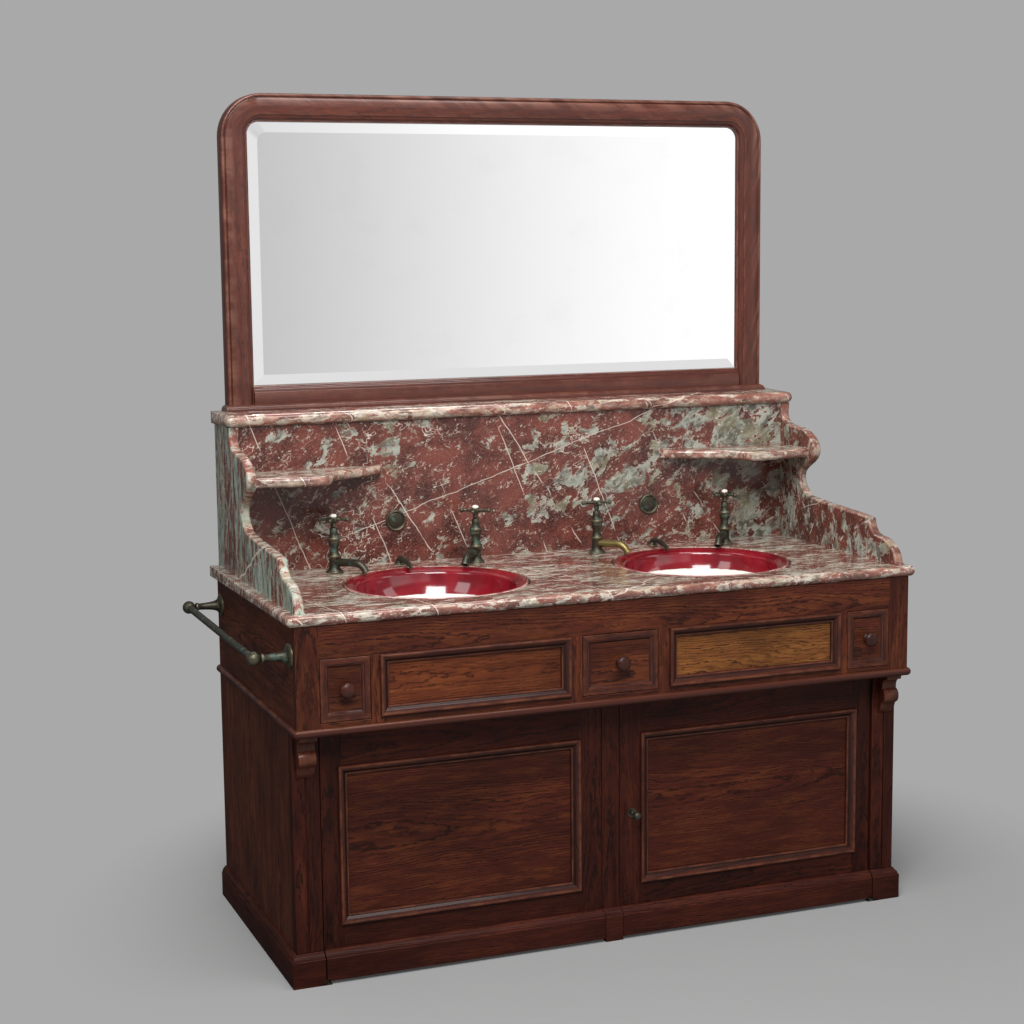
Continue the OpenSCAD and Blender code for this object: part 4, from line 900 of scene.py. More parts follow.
def plinthSection(foot, back):  # stepped and hollowed towards the top, from foot up
    proud, top = base["plinthFront"] / mm, plinthTop / mm
    return [(-back, foot), (proud - 0.6, foot, 1), (proud, foot + 0.8), (proud, top - 15),
            (proud - 0.8, top - 14, 1), (proud * 0.86, top - 13.6), (proud * 0.84, top - 11),
            (proud * 0.68, top - 6.5), (proud * 0.42, top - 3.6), (proud * 0.40, top - 2.2, 0.8),
            (proud * 0.34, top - 0.8, 1), (0, top), (-back, top)]


def buildPlinth():
    mesh = startMesh()
    for side in (-1, 1):
        path = [(side * sideX, 0, 0), (side * sideX, doorFace, 0), (side * pilaster["inner"], doorFace, 0)]
        scales = [base["plinthSide"] / base["plinthFront"], 1.0]
        if side > 0:
            path, scales = path[::-1], scales[::-1]
        sweep(mesh, plinthSection(foot=0, back=6), path, skyUp, scales=scales)
    board(mesh, (-sidePanel[0].x, -base["backRail"], 0), (sidePanel[0].x, 0, plinthTop), "x")
    finishMesh("plinthMoulding", mesh, "washstand", ["plinth"], ["shadedLowerWood"])


def buildSides():
    for side, name in ((-1, "left"), (1, "right")):
        mesh = startMesh()
        x0, x1 = sorted((side * sideX, side * sidePanel[0].x))
        count = base["sideBoards"]
        for i in range(count):
            y0, y1 = (doorBack * (count - k) / count for k in (i, i + 1))
            board(mesh, (x0, y0, 0), (x1, y1, soffitZ), "z", "x", base["sideChamfer"])
        board(mesh, (x0, sidePanel[0].y, soffitZ), (x1, 0, railTopZ), "y", "x")
        finishMesh("sidePanel" + name.title(), mesh, "washstand", ["side_panel_" + name],
                   ["darkWood"])


def buildFrieze():
    mesh = startMesh()
    middle, right = drawerBoxes["middle"], drawerBoxes["right"]
    gap = base["drawerGap"]
    bayX = (right[0].x - gap, right[1].x + gap)
    middleX = middle[1].x + gap
    railZ, footZ = right[1].z + gap, right[0].z - gap
    board(mesh, (-bayX[1], friezeY, railZ), (bayX[1], friezeBack, railTopZ), "x", chamfer=base["chamfer"])
    board(mesh, (-middleX, friezeY, soffitZ), (middleX, friezeBack, footZ), "x")
    pieces = ((bayX[1], sideX, soffitZ, railTopZ, "z"), (falseX[1], bayX[0], soffitZ, railZ, "z"),
              (middleX, falseX[0], soffitZ, railZ, "z"), (*bayX, soffitZ, footZ, "x"),
              (*falseX, soffitZ, falseZ[0], "x"), (*falseX, falseZ[1], railZ, "x"))
    for side in (-1, 1):
        for x0, x1, z0, z1, along in pieces:
            low, high = sorted((side * x0, side * x1))
            board(mesh, (low, friezeY, z0), (high, friezeBack, z1), along, chamfer=base["chamfer"])
    finishMesh("friezeFrame", mesh, "washstand", ["frieze_frame"], ["darkWood"])


# Raised moulding round a sunk panel: out is over the frame, up is towards the viewer.
panelMoulding = {"lap": 7 * mm, "proud": 7 * mm, "reach": 15 * mm, "sunk": 8 * mm}


def mouldingSection():
    lap, proud, reach, sunk = (panelMoulding[key] / mm for key in ("lap", "proud", "reach", "sunk"))
    # below 0 in the quirk where the moulding meets the frame: dirt and painted shade
    section = [(0, -sunk), (0, 0), (lap, 0, -1), (lap, 0.2 * proud, -0.5)]
    for turn in (0.0, 0.4, 0.8, 1.2, 1.57, 2.0, 2.4):  # the roll that lies on the frame
        # the roll's crest is marked fully, as wear and painted highlight
        rubbedAndLit = 1.0 if turn > 0.9 else 0.3
        section.append((lap - 3.2 + 3.2 * math.cos(turn), (0.55 + 0.45 * math.sin(turn)) * proud, rubbedAndLit))
    slope = cubic((-0.1 * reach, 0.62 * proud), (-0.3 * reach, 0.55 * proud),
                  (-0.45 * reach, -0.1 * sunk), (-0.62 * reach, -0.36 * sunk), 6)
    # darker down the hollow towards the panel: dirt and painted shade
    section += [(out, up, -0.9 * i / 6) for i, (out, up) in enumerate(slope)]
    # a bead at the foot of the hollow as wear and painted highlight, with dirt and painted shade on either side
    section += [(-0.66 * reach, -0.30 * sunk, -0.4), (-0.78 * reach, -0.30 * sunk, 1.0),
                (-0.9 * reach, -0.42 * sunk, 1.0), (-0.97 * reach, -0.66 * sunk, -0.4), (-reach, -sunk, -1)]
    return section


def mouldingRing(mesh, low, high, faceY, section, slot=0):
    corners = (low, (high[0], low[1]), high, (low[0], high[1]))
    sweep(mesh, section, [(x, faceY, z) for x, z in corners], towardsViewer, closed=True, slot=slot)


def buildFalsePanels():
    mesh = startMesh()
    for side, slot in ((-1, 1), (1, 2)):
        low, high = sorted((side * falseX[0], side * falseX[1]))
        board(mesh, (low, friezeY + panelMoulding["sunk"], falseZ[0]), (high, friezeBack, falseZ[1]),
              "x", slot=slot, spread=0.06)
        mouldingRing(mesh, (low, falseZ[0]), (high, falseZ[1]), friezeY, mouldingSection())
    finishMesh("falsePanels", mesh, "washstand", ["false_panels"],
               ["mouldingWood", "brownPanelWood", "goldenPanelWood"])


bandMoulding = {"radius": 9 * mm, "cornerBend": 0.4 * mm, "backGap": 0.5 * mm, "sides": 28, "pith": 0.06}


def buildBand():
    radius, backY = bandMoulding["radius"], -bandMoulding["backGap"]
    z = soffitZ + radius
    corners = ((-sideX, backY), (-sideX, friezeY), (sideX, friezeY), (sideX, backY))
    mesh = startMesh()
    tubes(mesh, [[((x, y, z), 1) for x, y in corners]], radius, "mouldingWood", bandMoulding["sides"],
          bandMoulding["cornerBend"])
    grain = layersOf(mesh)[0]
    for vert in mesh.verts:
        x, y = vert.co.xy
        out = max(abs(x) - sideX, friezeY - y)
        vert[grain] = Vector((x - math.copysign(y, x), vert.co.z - z, bandMoulding["pith"] + out))
    # painted highlight with wear along the round's upper face, strongest three quarters of the way up
    setWearAndLight(mesh, lambda place, rubbedAndLit: max(0.0, 1 - abs((place.z - z) / radius - 0.75) * 2.2))
    finishMesh("bandMoulding", mesh, "washstand", ["band_moulding"], ["mouldingWood"])


corbel = {"width": 38 * mm, "height": 98 * mm, "inFromSide": 8 * mm, "crown": 9.0909 * mm,
          "round": 0.9 * mm}


def corbelOutline(reach):  # (out, down) in mm, from the pilaster's face and the frieze's underside
    tall = corbel["height"] / mm
    points = [(0, 0), (reach, 0), (reach, -0.055 * tall), (reach - 1.4, -0.07 * tall),
              (reach - 1.4, -corbel["crown"] / mm)]
    points += cubic((reach - 2, -0.11 * tall), (0.55 * reach, -0.12 * tall), (0.44 * reach, -0.22 * tall),
                    (0.46 * reach, -0.36 * tall), 7)
    points += arcPoints((0.42 * reach, -0.54 * tall), (0.33 * reach, 0.17 * tall), 84, -62, 12)
    points += [(0.50 * reach, -0.70 * tall), (0.40 * reach, -0.74 * tall)]
    points += cubic((0.36 * reach, -0.76 * tall), (0.30 * reach, -0.86 * tall),
                    (0.16 * reach, -0.95 * tall), (0.0, -tall), 5)
    return points


def buildPilasters():
    mesh = startMesh()
    inner, groove = pilaster["inner"], pilaster["groove"]
    middle = (inner + sideX) / 2
    face = doorFace - pilaster["proud"]
    strips = ((inner, middle, face), (middle + groove, sideX, face),
              (middle - mm, middle + groove + mm, face + groove))
    outline = corbelOutline((face - pilasterBox[0].y) / mm)
    outline = [(face - out * mm, soffitZ + down * mm) for out, down in outline]

    def rounding(y, z):
        return corbel["round"] if y < face - 0.2 * mm else 0.0
    for side in (-1, 1):
        for x0, x1, y in strips:
            low, high = sorted((side * x0, side * x1))
            board(mesh, (low, y, plinthTop), (high, doorBack, soffitZ), "z", chamfer=pilaster["chamfer"])
        edgeX = side * (sideX - corbel["inFromSide"])
        low, high = sorted((edgeX, edgeX - side * corbel["width"]))
        made = slab(mesh, "x", low, high, outline, [], rounding, slot=1, steps=2)
        setGrain(mesh, made, Vector((edgeX, face, soffitZ)), "z", "y")
    finishMesh("pilasters", mesh, "washstand", ["pilasters"], ["shadedLowerWood", "mouldingWood"],
               smooth=38)


def mortisedBoard(mesh, low, high, cutLow, cutHigh, chamfer):  # an upright board with one mortise
    parts = []
    for corners, cut in (((low, high), chamfer), ((cutLow, cutHigh), 0.01 * mm)):
        shape = startMesh()
        board(shape, *corners, "z", chamfer=cut)
        parts.append(placed("mortise", meshData("mortise", shape)))
    modifier = parts[0].modifiers.new("mortise", "BOOLEAN")
    modifier.object = parts[1]
    modifier.operation = "DIFFERENCE"
    modifier.solver = "EXACT"
    before = len(mesh.verts)
    mesh.from_mesh(evaluatedMesh(parts[0]))
    mesh.verts.ensure_lookup_table()
    setGrain(mesh, mesh.verts[before:], (Vector(low) + Vector(high)) / 2, "z", "y")
    for part in parts:
        bpy.data.objects.remove(part)


post = {"half": 21 * mm, "mortise": 14 * mm, "sidePlay": 1 * mm, "heightPlay": 3 * mm, "beyond": 5 * mm,
        "stripGap": 0.3 * mm}


def buildPost():
    mesh = startMesh()
    half, play, rise = post["half"], post["sidePlay"], post["heightPlay"]
    mortisedBoard(mesh, (-half, doorFace, 0), (half, doorBack, soffitZ),
                  (half - post["mortise"], boltBox[0].y - play, boltBox[0].z - rise),
                  (half + post["beyond"], boltBox[1].y + play, boltBox[1].z + rise), base["chamfer"])
    sweep(mesh, plinthSection(foot=0, back=4), [(-half, doorFace, 0), (half, doorFace, 0)], skyUp)
    low, high = postBox
    board(mesh, (low.x, doorBack + post["stripGap"], plinthTop), (high.x, high.y, soffitZ), "z")
    finishMesh("centrePost", mesh, "washstand", ["centre_post"], ["shadedLowerWood"])


door = {"chamfer": 0.8 * mm, "tongue": 4 * mm, "latchCover": 4 * mm, "beyond": 5 * mm}


def buildDoor(side, name):
    frameBox, panelBox = (doorLeft, panelLeft) if side < 0 else (doorRight, panelRight)
    body, chamfer, tongue = "door_" + name, door["chamfer"], door["tongue"]
    mesh = startMesh()
    xs = (frameBox[0].x, panelBox[0].x, panelBox[1].x, frameBox[1].x)
    zs = (frameBox[0].z, panelBox[0].z, panelBox[1].z, frameBox[1].z)
    if side > 0:
        mortisedBoard(mesh, (xs[0], doorFace, zs[0]), (xs[1], doorBack, zs[3]),
                      (latchBox[0].x - door["beyond"], doorFace + door["latchCover"], latchBox[0].z),
                      tuple(latchBox[1]), chamfer)
    else:
        board(mesh, (xs[0], doorFace, zs[0]), (xs[1], doorBack, zs[3]), "z", chamfer=chamfer)
    board(mesh, (xs[2], doorFace, zs[0]), (xs[3], doorBack, zs[3]), "z", chamfer=chamfer)
    for z0, z1 in (zs[:2], zs[2:]):
        board(mesh, (xs[1], doorFace, z0), (xs[2], doorBack, z1), "x", chamfer=chamfer, spread=0.05)
    mouldingRing(mesh, (xs[1], zs[1]), (xs[2], zs[2]), doorFace, mouldingSection(), slot=1)
    finishMesh("doorFrame" + name.title(), mesh, body, ["door_frame_" + name],
               ["shadedLowerWood", "mouldingWood"])
    mesh = startMesh()
    board(mesh, (xs[1] - tongue, panelBox[0].y, zs[1] - tongue),
          (xs[2] + tongue, panelBox[1].y, zs[2] + tongue), "x", spread=0.06)
    finishMesh("doorPanel" + name.title(), mesh, body, ["door_panel_" + name], ["doorPanelWood"])
    mesh = startMesh()
    path = [(xs[0], doorFace, 0), (xs[3], doorFace, 0)]
    sweep(mesh, plinthSection(foot=base["floorGap"] / mm, back=0), path, skyUp)
    finishMesh("doorPlinth" + name.title(), mesh, body, ["door_plinth_" + name], ["shadedLowerWood"])


buildPlinth()
buildSides()
buildFrieze()
buildFalsePanels()
buildBand()
buildPilasters()
buildPost()
for side, name in ((-1, "left"), (1, "right")):
    buildDoor(side, name)
print("base and doors built")

# ---- drawers
drawer = {"frameWidth": 11.5 * mm, "slope": 8 * mm, "field": 6 * mm, "fieldIn": 2 * mm, "side": 8 * mm,
          "bottom": 6 * mm, "tails": 3, "tailProud": 0.15 * mm}


def drawerSection(thick):
    wide, slope, field = (drawer[key] / mm for key in ("frameWidth", "slope", "field"))
    # below 0 in the quirks and at the foot of the slope: dirt and painted shade; above 0 on arrises: wear and
    # painted highlight
    return [(0, -thick), (0, -0.7, 1), (-0.7, 0, 1), (1 - wide, 0), (-wide, 0, 0.6),
            (-wide - 0.8, -1.4, -0.8), (-wide - 2.2, -1.5, 1), (-wide - 0.55 * slope, -0.45 * field),
            (-wide - 0.8 * slope, -0.85 * field, -0.4), (-wide - slope, -0.95 * field, 0.4),
            (-wide - slope - 0.8, -field - 0.4, -1), (-wide - slope - 0.8, -thick)]


def knobProfile(radius, out):
    profile = [(0, -14), (6, -14), (6, 0), (0.60 * radius, 0), (0.62 * radius, 1.5), (0.56 * radius, 3),
               (0.40 * radius, 5), (0.36 * radius, 8), (0.44 * radius, 10), (0.62 * radius, 11.4, 0.4)]
    return profile + withWearAndLight(arcPoints((0, 0.68 * out), (radius, 0.32 * out), -42, 90, 14), 0.35)


def buildDrawerBox(name, body):
    low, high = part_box("drawer_box_" + name)
    wall = drawer["side"]
    mesh = startMesh()
    for x0, x1 in ((low.x, low.x + wall), (high.x - wall, high.x)):
        board(mesh, (x0, low.y, low.z), (x1, high.y, high.z), "y", "x")
    for y0, y1 in ((low.y, low.y + wall), (high.y - wall, high.y)):
        board(mesh, (low.x + wall, y0, low.z), (high.x - wall, y1, high.z), "x", "y")
    board(mesh, (low.x + wall, low.y + wall, low.z),
          (high.x - wall, high.y - wall, low.z + drawer["bottom"]), "x", "z")
    pitch = (high.z - low.z) / drawer["tails"]
    for i in range(drawer["tails"]):  # the tails' end grain on both sides, wider towards the corner
        middle = low.z + (i + 0.5) * pitch
        for x, sense in ((low.x, -1), (high.x, 1)):
            for y, inward in ((low.y, 1), (high.y, -1)):
                inner = y + inward * wall
                outline = [(y, middle - 0.24 * pitch), (inner, middle - 0.34 * pitch),
                           (inner, middle + 0.34 * pitch), (y, middle + 0.24 * pitch)]
                xs = sorted((x + sense * drawer["tailProud"], x - sense * mm))
                made = slab(mesh, "x", *xs, outline, [], lambda u, v: 0.0, steps=1, slot=1)
                setGrain(mesh, made, Vector((x, y, middle)), "x", "y")
    finishMesh("drawerBox" + name.title(), mesh, body, ["drawer_box_" + name],
               ["plainWood", "brownPanelWood"])


def buildDrawer(name):
    low, high = drawerBoxes[name]
    body = "drawer_" + name
    mesh = startMesh()
    mouldingRing(mesh, (low.x, low.z), (high.x, high.z), low.y, drawerSection((high.y - low.y) / mm))
    inset, face = drawer["frameWidth"] + drawer["fieldIn"], low.y + drawer["field"]
    board(mesh, (low.x + inset, face, low.z + inset), (high.x - inset, high.y, high.z - inset), "x",
          slot=1, spread=0.05)
    finishMesh("drawerFront" + name.title(), mesh, body, ["drawer_front_" + name],
               ["mouldingWood", "darkWood"])
    buildDrawerBox(name, body)
    low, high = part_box("drawer_knob_" + name)
    centre = (low + high) / 2
    mesh = startMesh()
    turned(mesh, knobProfile((high.x - low.x) / 2 / mm, (face - low.y) / mm),
           spot((centre.x, face, centre.z), 90, "X"), 48)
    finishMesh("drawerKnob" + name.title(), mesh, body, ["drawer_knob_" + name], ["knobWood"],
               smooth=50)


for name in ("left", "middle", "right"):
    buildDrawer(name)
print("drawers built")

# ---- marble
marble = {"holeEdge": 2.5 * mm, "galleryEdge": 5 * mm, "shelfEdge": 9 * mm, "bowlHole": 212 * mm,
          "tapHole": 14 * mm, "wornAndLitDown": 6 * mm, "flat": 0.01 * mm, "corner": 0.05 * mm,
          "cornerSteps": 8, "holeSteps": 128}
hair = 0.1 * mm  # closer than this is the same place


def topMiddle(box):
    return Vector(((box[0].x + box[1].x) / 2, (box[0].y + box[1].y) / 2, box[1].z))


bowlCentres = [topMiddle(box) for box in (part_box("bowl_left"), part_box("bowl_right"))]
buttonBoxes = [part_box("tap_button_%d" % i) for i in (1, 2, 3, 4)]
tapPlaces = [topMiddle(box) for box in buttonBoxes]
for place in tapPlaces:  # a tap's place is on the marble, at the height of the rims
    place.z = bowlCentres[0].z


def nosedSlab(mesh, box, holes):  # rounded in front and at both ends, square at the wall
    low, high = box
    nose = (high.z - low.z) / 2 - marble["flat"]
    corner = nose + marble["corner"]
    outline = []
    for x, start in ((corner - high.x, 180), (high.x - corner, 270)):
        outline += arcPoints((x, low.y + corner), (corner, corner), start, start + 90,
                             marble["cornerSteps"])
    outline += [(high.x, 0), (-high.x, 0)]
    slab(mesh, "z", low.z, high.z, outline, holes, lambda u, v: 0.0 if v > -hair else nose,
         marble["holeEdge"], steps=6)


def buildTop():
    low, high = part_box("marble_top")
    mesh = startMesh()
    holes = [ringPoints(*centre.xy, marble["bowlHole"], marble["holeSteps"]) for centre in bowlCentres]
    holes += [ringPoints((a.x + b.x) / 2, (a.y + b.y) / 2, marble["tapHole"], 24) for a, b in buttonBoxes]
    nosedSlab(mesh, (low, high), holes)
    # the upper arrises take the full wear and painted highlight, the lower ones about a third
    setWearAndLight(mesh, lambda place, rubbedAndLit: rubbedAndLit * (0.35 if place.z < high.z - marble["wornAndLitDown"] else 1.0))
    finishMesh("marbleTop", mesh, "washstand", ["marble_top"], ["slabMarble"], smooth=50)


def buildLedge():
    mesh = startMesh()
    nosedSlab(mesh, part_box("ledge"), [])
    finishMesh("marbleLedge", mesh, "washstand", ["ledge"], ["slabMarble"], smooth=50)


def buildGalleries():
    for name in ("left", "right"):
        low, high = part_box("gallery_" + name)
        outline = sideOutline("gallery_" + name, "x")[0]

        def rounding(y, z):
            free = y < -hair and low.z + hair < z < high.z - hair
            return marble["galleryEdge"] if free else 0.0
        mesh = startMesh()
        slab(mesh, "x", low.x, high.x, outline, [], rounding, steps=5)
        finishMesh("gallery" + name.title(), mesh, "washstand", ["gallery_" + name],
                   ["sideMarble" + name.title()], smooth=50)


def buildShelves():
    low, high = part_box("corner_shelves")
    mesh = startMesh()
    for outline in sideOutline("corner_shelves", "z"):
        wallX = max(abs(u) for u, v in outline)

        def rounding(u, v):
            return marble["shelfEdge"] if v < high.y - hair and abs(u) < wallX - hair else 0.0
        slab(mesh, "z", low.z, high.z, outline, [], rounding, steps=5)
    finishMesh("cornerShelves", mesh, "washstand", ["corner_shelves"], ["slabMarble"], smooth=50)


buildTop()
buildLedge()
buildGalleries()
buildShelves()
print("marble built")

# ---- mirror
mirror = {"half": 701 * mm, "face": 41 * mm, "width": 64 * mm, "foot": 43 * mm, "outerRadius": 100 * mm,
          "innerRadius": 30 * mm, "bead": 8 * mm, "fillet": 15 * mm, "sill": 14 * mm, "sillProud": 9 * mm,
          "bevel": 25 * mm, "bevelDrop": 3.2 * mm, "rebate": 3 * mm, "railTuck": 2 * mm, "cornerSteps": 14}
mirrorBox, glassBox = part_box("mirror_frame"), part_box("mirror_glass")
sillZ, frameTop = mirrorBox[0].z, mirrorBox[1].z
frameFoot = sillZ + mirror["sill"]
glassFace = glassBox[0].y
openHalf = mirror["half"] - mirror["width"]
openZ = (frameFoot + mirror["foot"], frameTop - mirror["width"])


def archPath(half, foot, top, radius):  # up the left side, over both corners, down the right side
    points = [(-half, foot)]
    for x, start in ((radius - half, 180), (half - radius, 90)):
        points += arcPoints((x, top - radius), (radius, radius), start, start - 90, mirror["cornerSteps"])
    return points + [(half, foot)]


def frameProfile():  # (in from the outer edge, out from the wall, edge mark)
    face, bead, wide, fillet = (mirror[key] / mm for key in ("face", "bead", "width", "fillet"))
    glass = -glassFace / mm
    profile = [(0, 0), (0, face - 9), (0.4, face - 8.4, 0.5)]
    profile += withWearAndLight(arcPoints((bead / 2 + 0.6, face - 5), (bead / 2, 3.6), 170, 20, 7), 0.9)
    profile += [(bead + 1.2, face - 4.4), (bead + 2.0, face - 4.2), (bead + 2.6, face - 1.0, 1),
                (bead + 3.8, face, 0.8), (wide / 2, face), (wide - fillet - 1, face - 0.2, 0.3),
                (wide - fillet, face - 0.8, 1), (wide - fillet + 0.3, face - 3.2)]
    profile += withWearAndLight(cubic((wide - fillet + 1.2, face - 3.6), (wide - fillet + 7, face - 4),
                          (wide - 4.5, glass + 6), (wide - 3.5, glass + 3), 6), 0.0)
    return profile + [(wide - 2.2, glass + 3.2, 0.8), (wide - 0.3, glass + 2, 0.6), (wide, glass),
                      (wide, 0)]


def railSection(profile):  # the lower rail: flat, with the frame's hollow along the glass
    face, wide, fillet, foot = (mirror[key] / mm for key in ("face", "width", "fillet", "foot"))
    rail = [(0, 0), (face, 0), (face, foot - fillet, 0.2), (face - 0.6, foot - fillet + 0.8, 1)]
    hollow = [(point + (0.0,))[:3] for point in profile if point[0] > wide - fillet and point[1] > 0]
    return rail + [(out, foot - wide + inset, wearAndLight) for inset, out, wearAndLight in hollow] + [(0, foot)]


def sillSection():
    face, proud, tall = (mirror[key] / mm for key in ("face", "sillProud", "sill"))
    sill = [(-0.5 * face, 0), (proud, 0), (proud, 0.34 * tall), (proud - 0.8, 0.42 * tall, 1)]
    sill += withWearAndLight(arcPoints((0.5, 0.42 * tall), (proud - 2, 0.46 * tall), 0, 80, 6), 0.5)
    return sill + [(0.4, 0.97 * tall), (0, tall)]


def buildMirrorFrame():
    mesh = startMesh()
    grain, edge = layersOf(mesh)
    half, face = mirror["half"], mirror["face"]
    profile = frameProfile()
    shift = grainShift(0.01)
    rows = []
    for point in profile:
        inset, out = point[0] * mm, point[1] * mm
        share = inset / mirror["width"]
        radius = mirror["outerRadius"] + (mirror["innerRadius"] - mirror["outerRadius"]) * share
        row, travelled, last = [], 0.0, None
        for x, z in archPath(half - inset, frameFoot, frameTop - inset, radius):
            vert = mesh.verts.new((x, -out, z))
            travelled += (vert.co - last).length if last else 0.0
            last = vert.co.copy()
            vert[grain] = Vector((travelled, inset * 0.6, out * 0.5)) + shift
            row.append(vert)
        rows.append(row)
    wearsAndLight = [point[2] if len(point) > 2 else 0.0 for point in profile]
    for j in range(len(rows)):
        k = (j + 1) % len(rows)
        for i in range(len(rows[0]) - 1):
            strip = mesh.faces.new([rows[j][i], rows[j][i + 1], rows[k][i + 1], rows[k][i]])
            for loop, wearAndLight in zip(strip.loops, (wearsAndLight[j], wearsAndLight[j], wearsAndLight[k], wearsAndLight[k])):
                loop[edge] = wearAndLight
    for i in (0, -1):
        mesh.faces.new([row[i] for row in rows])
    railHalf = openHalf + mirror["railTuck"]
    sweep(mesh, railSection(profile), [(-railHalf, 0, frameFoot), (railHalf, 0, frameFoot)], skyUp)
    path = [(-half, 0, sillZ), (-half, -face, sillZ), (half, -face, sillZ), (half, 0, sillZ)]
    sweep(mesh, sillSection(), path, skyUp)
    board(mesh, (mm - half, mm - face, sillZ), (half - mm, 0, frameFoot), "x")
    finishMesh("mirrorFrame", mesh, "washstand", ["mirror_frame"], ["mahogany"], smooth=40)


def glassLoop(inset):  # the ground slope follows the round corners at the top and is square below
    radius = mirror["innerRadius"] - inset * 0.3
    return archPath(openHalf - inset, openZ[0] + inset, openZ[1] - inset, radius)


def buildGlass():
    mesh = startMesh()
    rebate, bevel, drop = mirror["rebate"], mirror["bevel"], glassFace + mirror["bevelDrop"]
    levels = [(-rebate, glassBox[1].y), (-rebate, drop + 0.4 * mm), (0.0, drop),
              (bevel - 0.5 * mm, glassFace + 0.03 * mm), (bevel, glassFace)]
    rings = [[mesh.verts.new((x, y, z)) for x, z in glassLoop(inset)] for inset, y in levels]
    for outer, inner in zip(rings, rings[1:]):
        for i in range(len(outer)):
            mesh.faces.new([outer[i - 1], outer[i], inner[i], inner[i - 1]]).material_index = 1
    mesh.faces.new(rings[0])
    mesh.faces.new(rings[-1])
    finishMesh("mirrorGlass", mesh, "washstand", ["mirror_glass"],
               ["silvering", "bevelSilvering"], smooth=2)


backing = {"planks": 5, "thick": 7 * mm, "chamfer": 1.2 * mm, "plateHalf": 16 * mm, "plateTall": 24 * mm,
           "plateThick": 3 * mm, "plateHole": 5 * mm, "plateEdge": 0.3 * mm, "packing": 6 * mm,
           "screwIn": 5 * mm, "screw": 2.6 * mm, "hangIn": 37 * mm, "hangDown": 40 * mm}
hangX, hangZ = openHalf - backing["hangIn"], openZ[1] - backing["hangDown"]
headMiddle = -screwHead["deep"] / 2  # of the heads that are sunk in the rear


def buildMirrorBack():
    low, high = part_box("mirror_back")
    front = glassBox[1].y
    rear = front + backing["thick"]
    wide, tall, band, thick = (backing[key] for key in ("plateHalf", "plateTall", "packing", "plateThick"))
    mesh = startMesh()
    for i in range(backing["planks"]):
        x0, x1 = (low.x + (high.x - low.x) * k / backing["planks"] for k in (i, i + 1))
        board(mesh, (x0, front, low.z), (x1, rear, high.z), "z", chamfer=backing["chamfer"])
    for x in (-hangX, hangX):  # a hanging plate on four strips of packing
        outline = [(x + u * wide, hangZ + v * tall) for u, v in ((-1, -1), (1, -1), (1, 1), (-1, 1))]
        slab(mesh, "y", -thick, 0.0, outline, [ringPoints(x, hangZ, backing["plateHole"], 24)],
             lambda u, v: backing["plateEdge"], slot=1, steps=1)
        for x0, x1, z0, z1 in ((-wide, band - wide, -tall, tall), (wide - band, wide, -tall, tall),
                               (band - wide, wide - band, -tall, band - tall),
                               (band - wide, wide - band, tall - band, tall)):
            board(mesh, (x + x0, rear, hangZ + z0), (x + x1, -thick, hangZ + z1), slot=1)
    finishMesh("mirrorBacking", mesh, "washstand", ["mirror_back"], ["plainWood", "brass"])
    u, v = wide - backing["screwIn"], tall - backing["screwIn"]
    spots = [((x + dx, headMiddle, hangZ + dz), (0, 1, 0))
             for x in (-hangX, hangX) for dx in (-u, u) for dz in (-v, v)]
    screws("hangingPlates", "washstand", spots, backing["screw"], "brass")


buildMirrorFrame()
buildGlass()
buildMirrorBack()
print("mirror built")

# ---- bowls and fittings
bowl = {"rim": 207 * mm, "rimWide": 28 * mm, "deep": 150 * mm, "wall": 7 * mm, "drop": 9 * mm,
        "pin": 6 * mm, "pinLong": 41 * mm, "pinDown": 36 * mm, "pinBack": 12 * mm, "wornAndLitIn": 3.5 * mm,
        "wornAndLitDown": 6 * mm}


def bowlProfile():  # inner side from the rim's edge down to the middle, then back up outside
    rim, wide, deep, wall, drop = (bowl[key] / mm for key in ("rim", "rimWide", "deep", "wall", "drop"))
    lip, floor = rim - wide - 1, wall - deep
    points = [(rim - 0.4, -2.6), (rim - 1.6, -1.0), (rim - 4, -0.2), (rim - 7, -0.6), (rim - 16, -4.4),
              (lip + 2.4, 1.2 - drop), (lip, -drop - 1.6)]
    points += cubic((lip - 0.8, -drop - 5), (lip - 5, -58), (rim - 74, floor + 26), (66, floor + 0.6), 22)
    points += [(40, floor), (0, floor), (0, -deep), (66, -deep), (68, 1 - deep)]
    points += cubic((70, 2 - deep), (rim - 66, 24 - deep), (rim - wide + 1, -60), (rim - wide + 6, -24), 16)
    return points + [(rim - 5, -14), (rim - 1, -11), (rim, -8), (rim, -5), (rim - 0.4, -2.6)]


def buildBowl(name, centre):
    path = [((radius * mm, -height * mm, 0), 1.0) for radius, height in bowlProfile()]
    glaze = "glaze" + name.title()
    data = grownMesh(pathObject([path]), turnedTree, Sides=128, Finish=finishes[glaze])
    data.transform(Matrix.Translation(centre))
    mesh = startMesh()
    mesh.from_mesh(data)
    bpy.data.meshes.remove(data)

    def rimWearAndHighlight(place, rubbedAndLit):  # rubbed glaze and painted highlight on the rim, strongest in front
        away = place - centre
        onRim = away.xy.length > bowl["rim"] - bowl["wornAndLitIn"] and away.z > -bowl["wornAndLitDown"]
        return 0.55 - 0.45 * away.y / bowl["rim"] if onRim else 0.0
    setWearAndLight(mesh, rimWearAndHighlight)
    pin, long = bowl["pin"] / mm, bowl["pinLong"] / mm
    profile = [(0, 0), (pin + 4, 0), (pin + 1.5, 6), (pin, 12), (pin, long - 1), (pin - 1, long), (0, long)]
    for side in (-1, 1):
        foot = centre + Vector((side * (bowl["rim"] - bowl["rimWide"]), bowl["pinBack"], -bowl["pinDown"]))
        turned(mesh, profile, spot(foot, 90 * side, "Y"), 24)
    finishMesh("bowl" + name.title(), mesh, "bowl_" + name, ["bowl_" + name], [glaze], smooth=60)


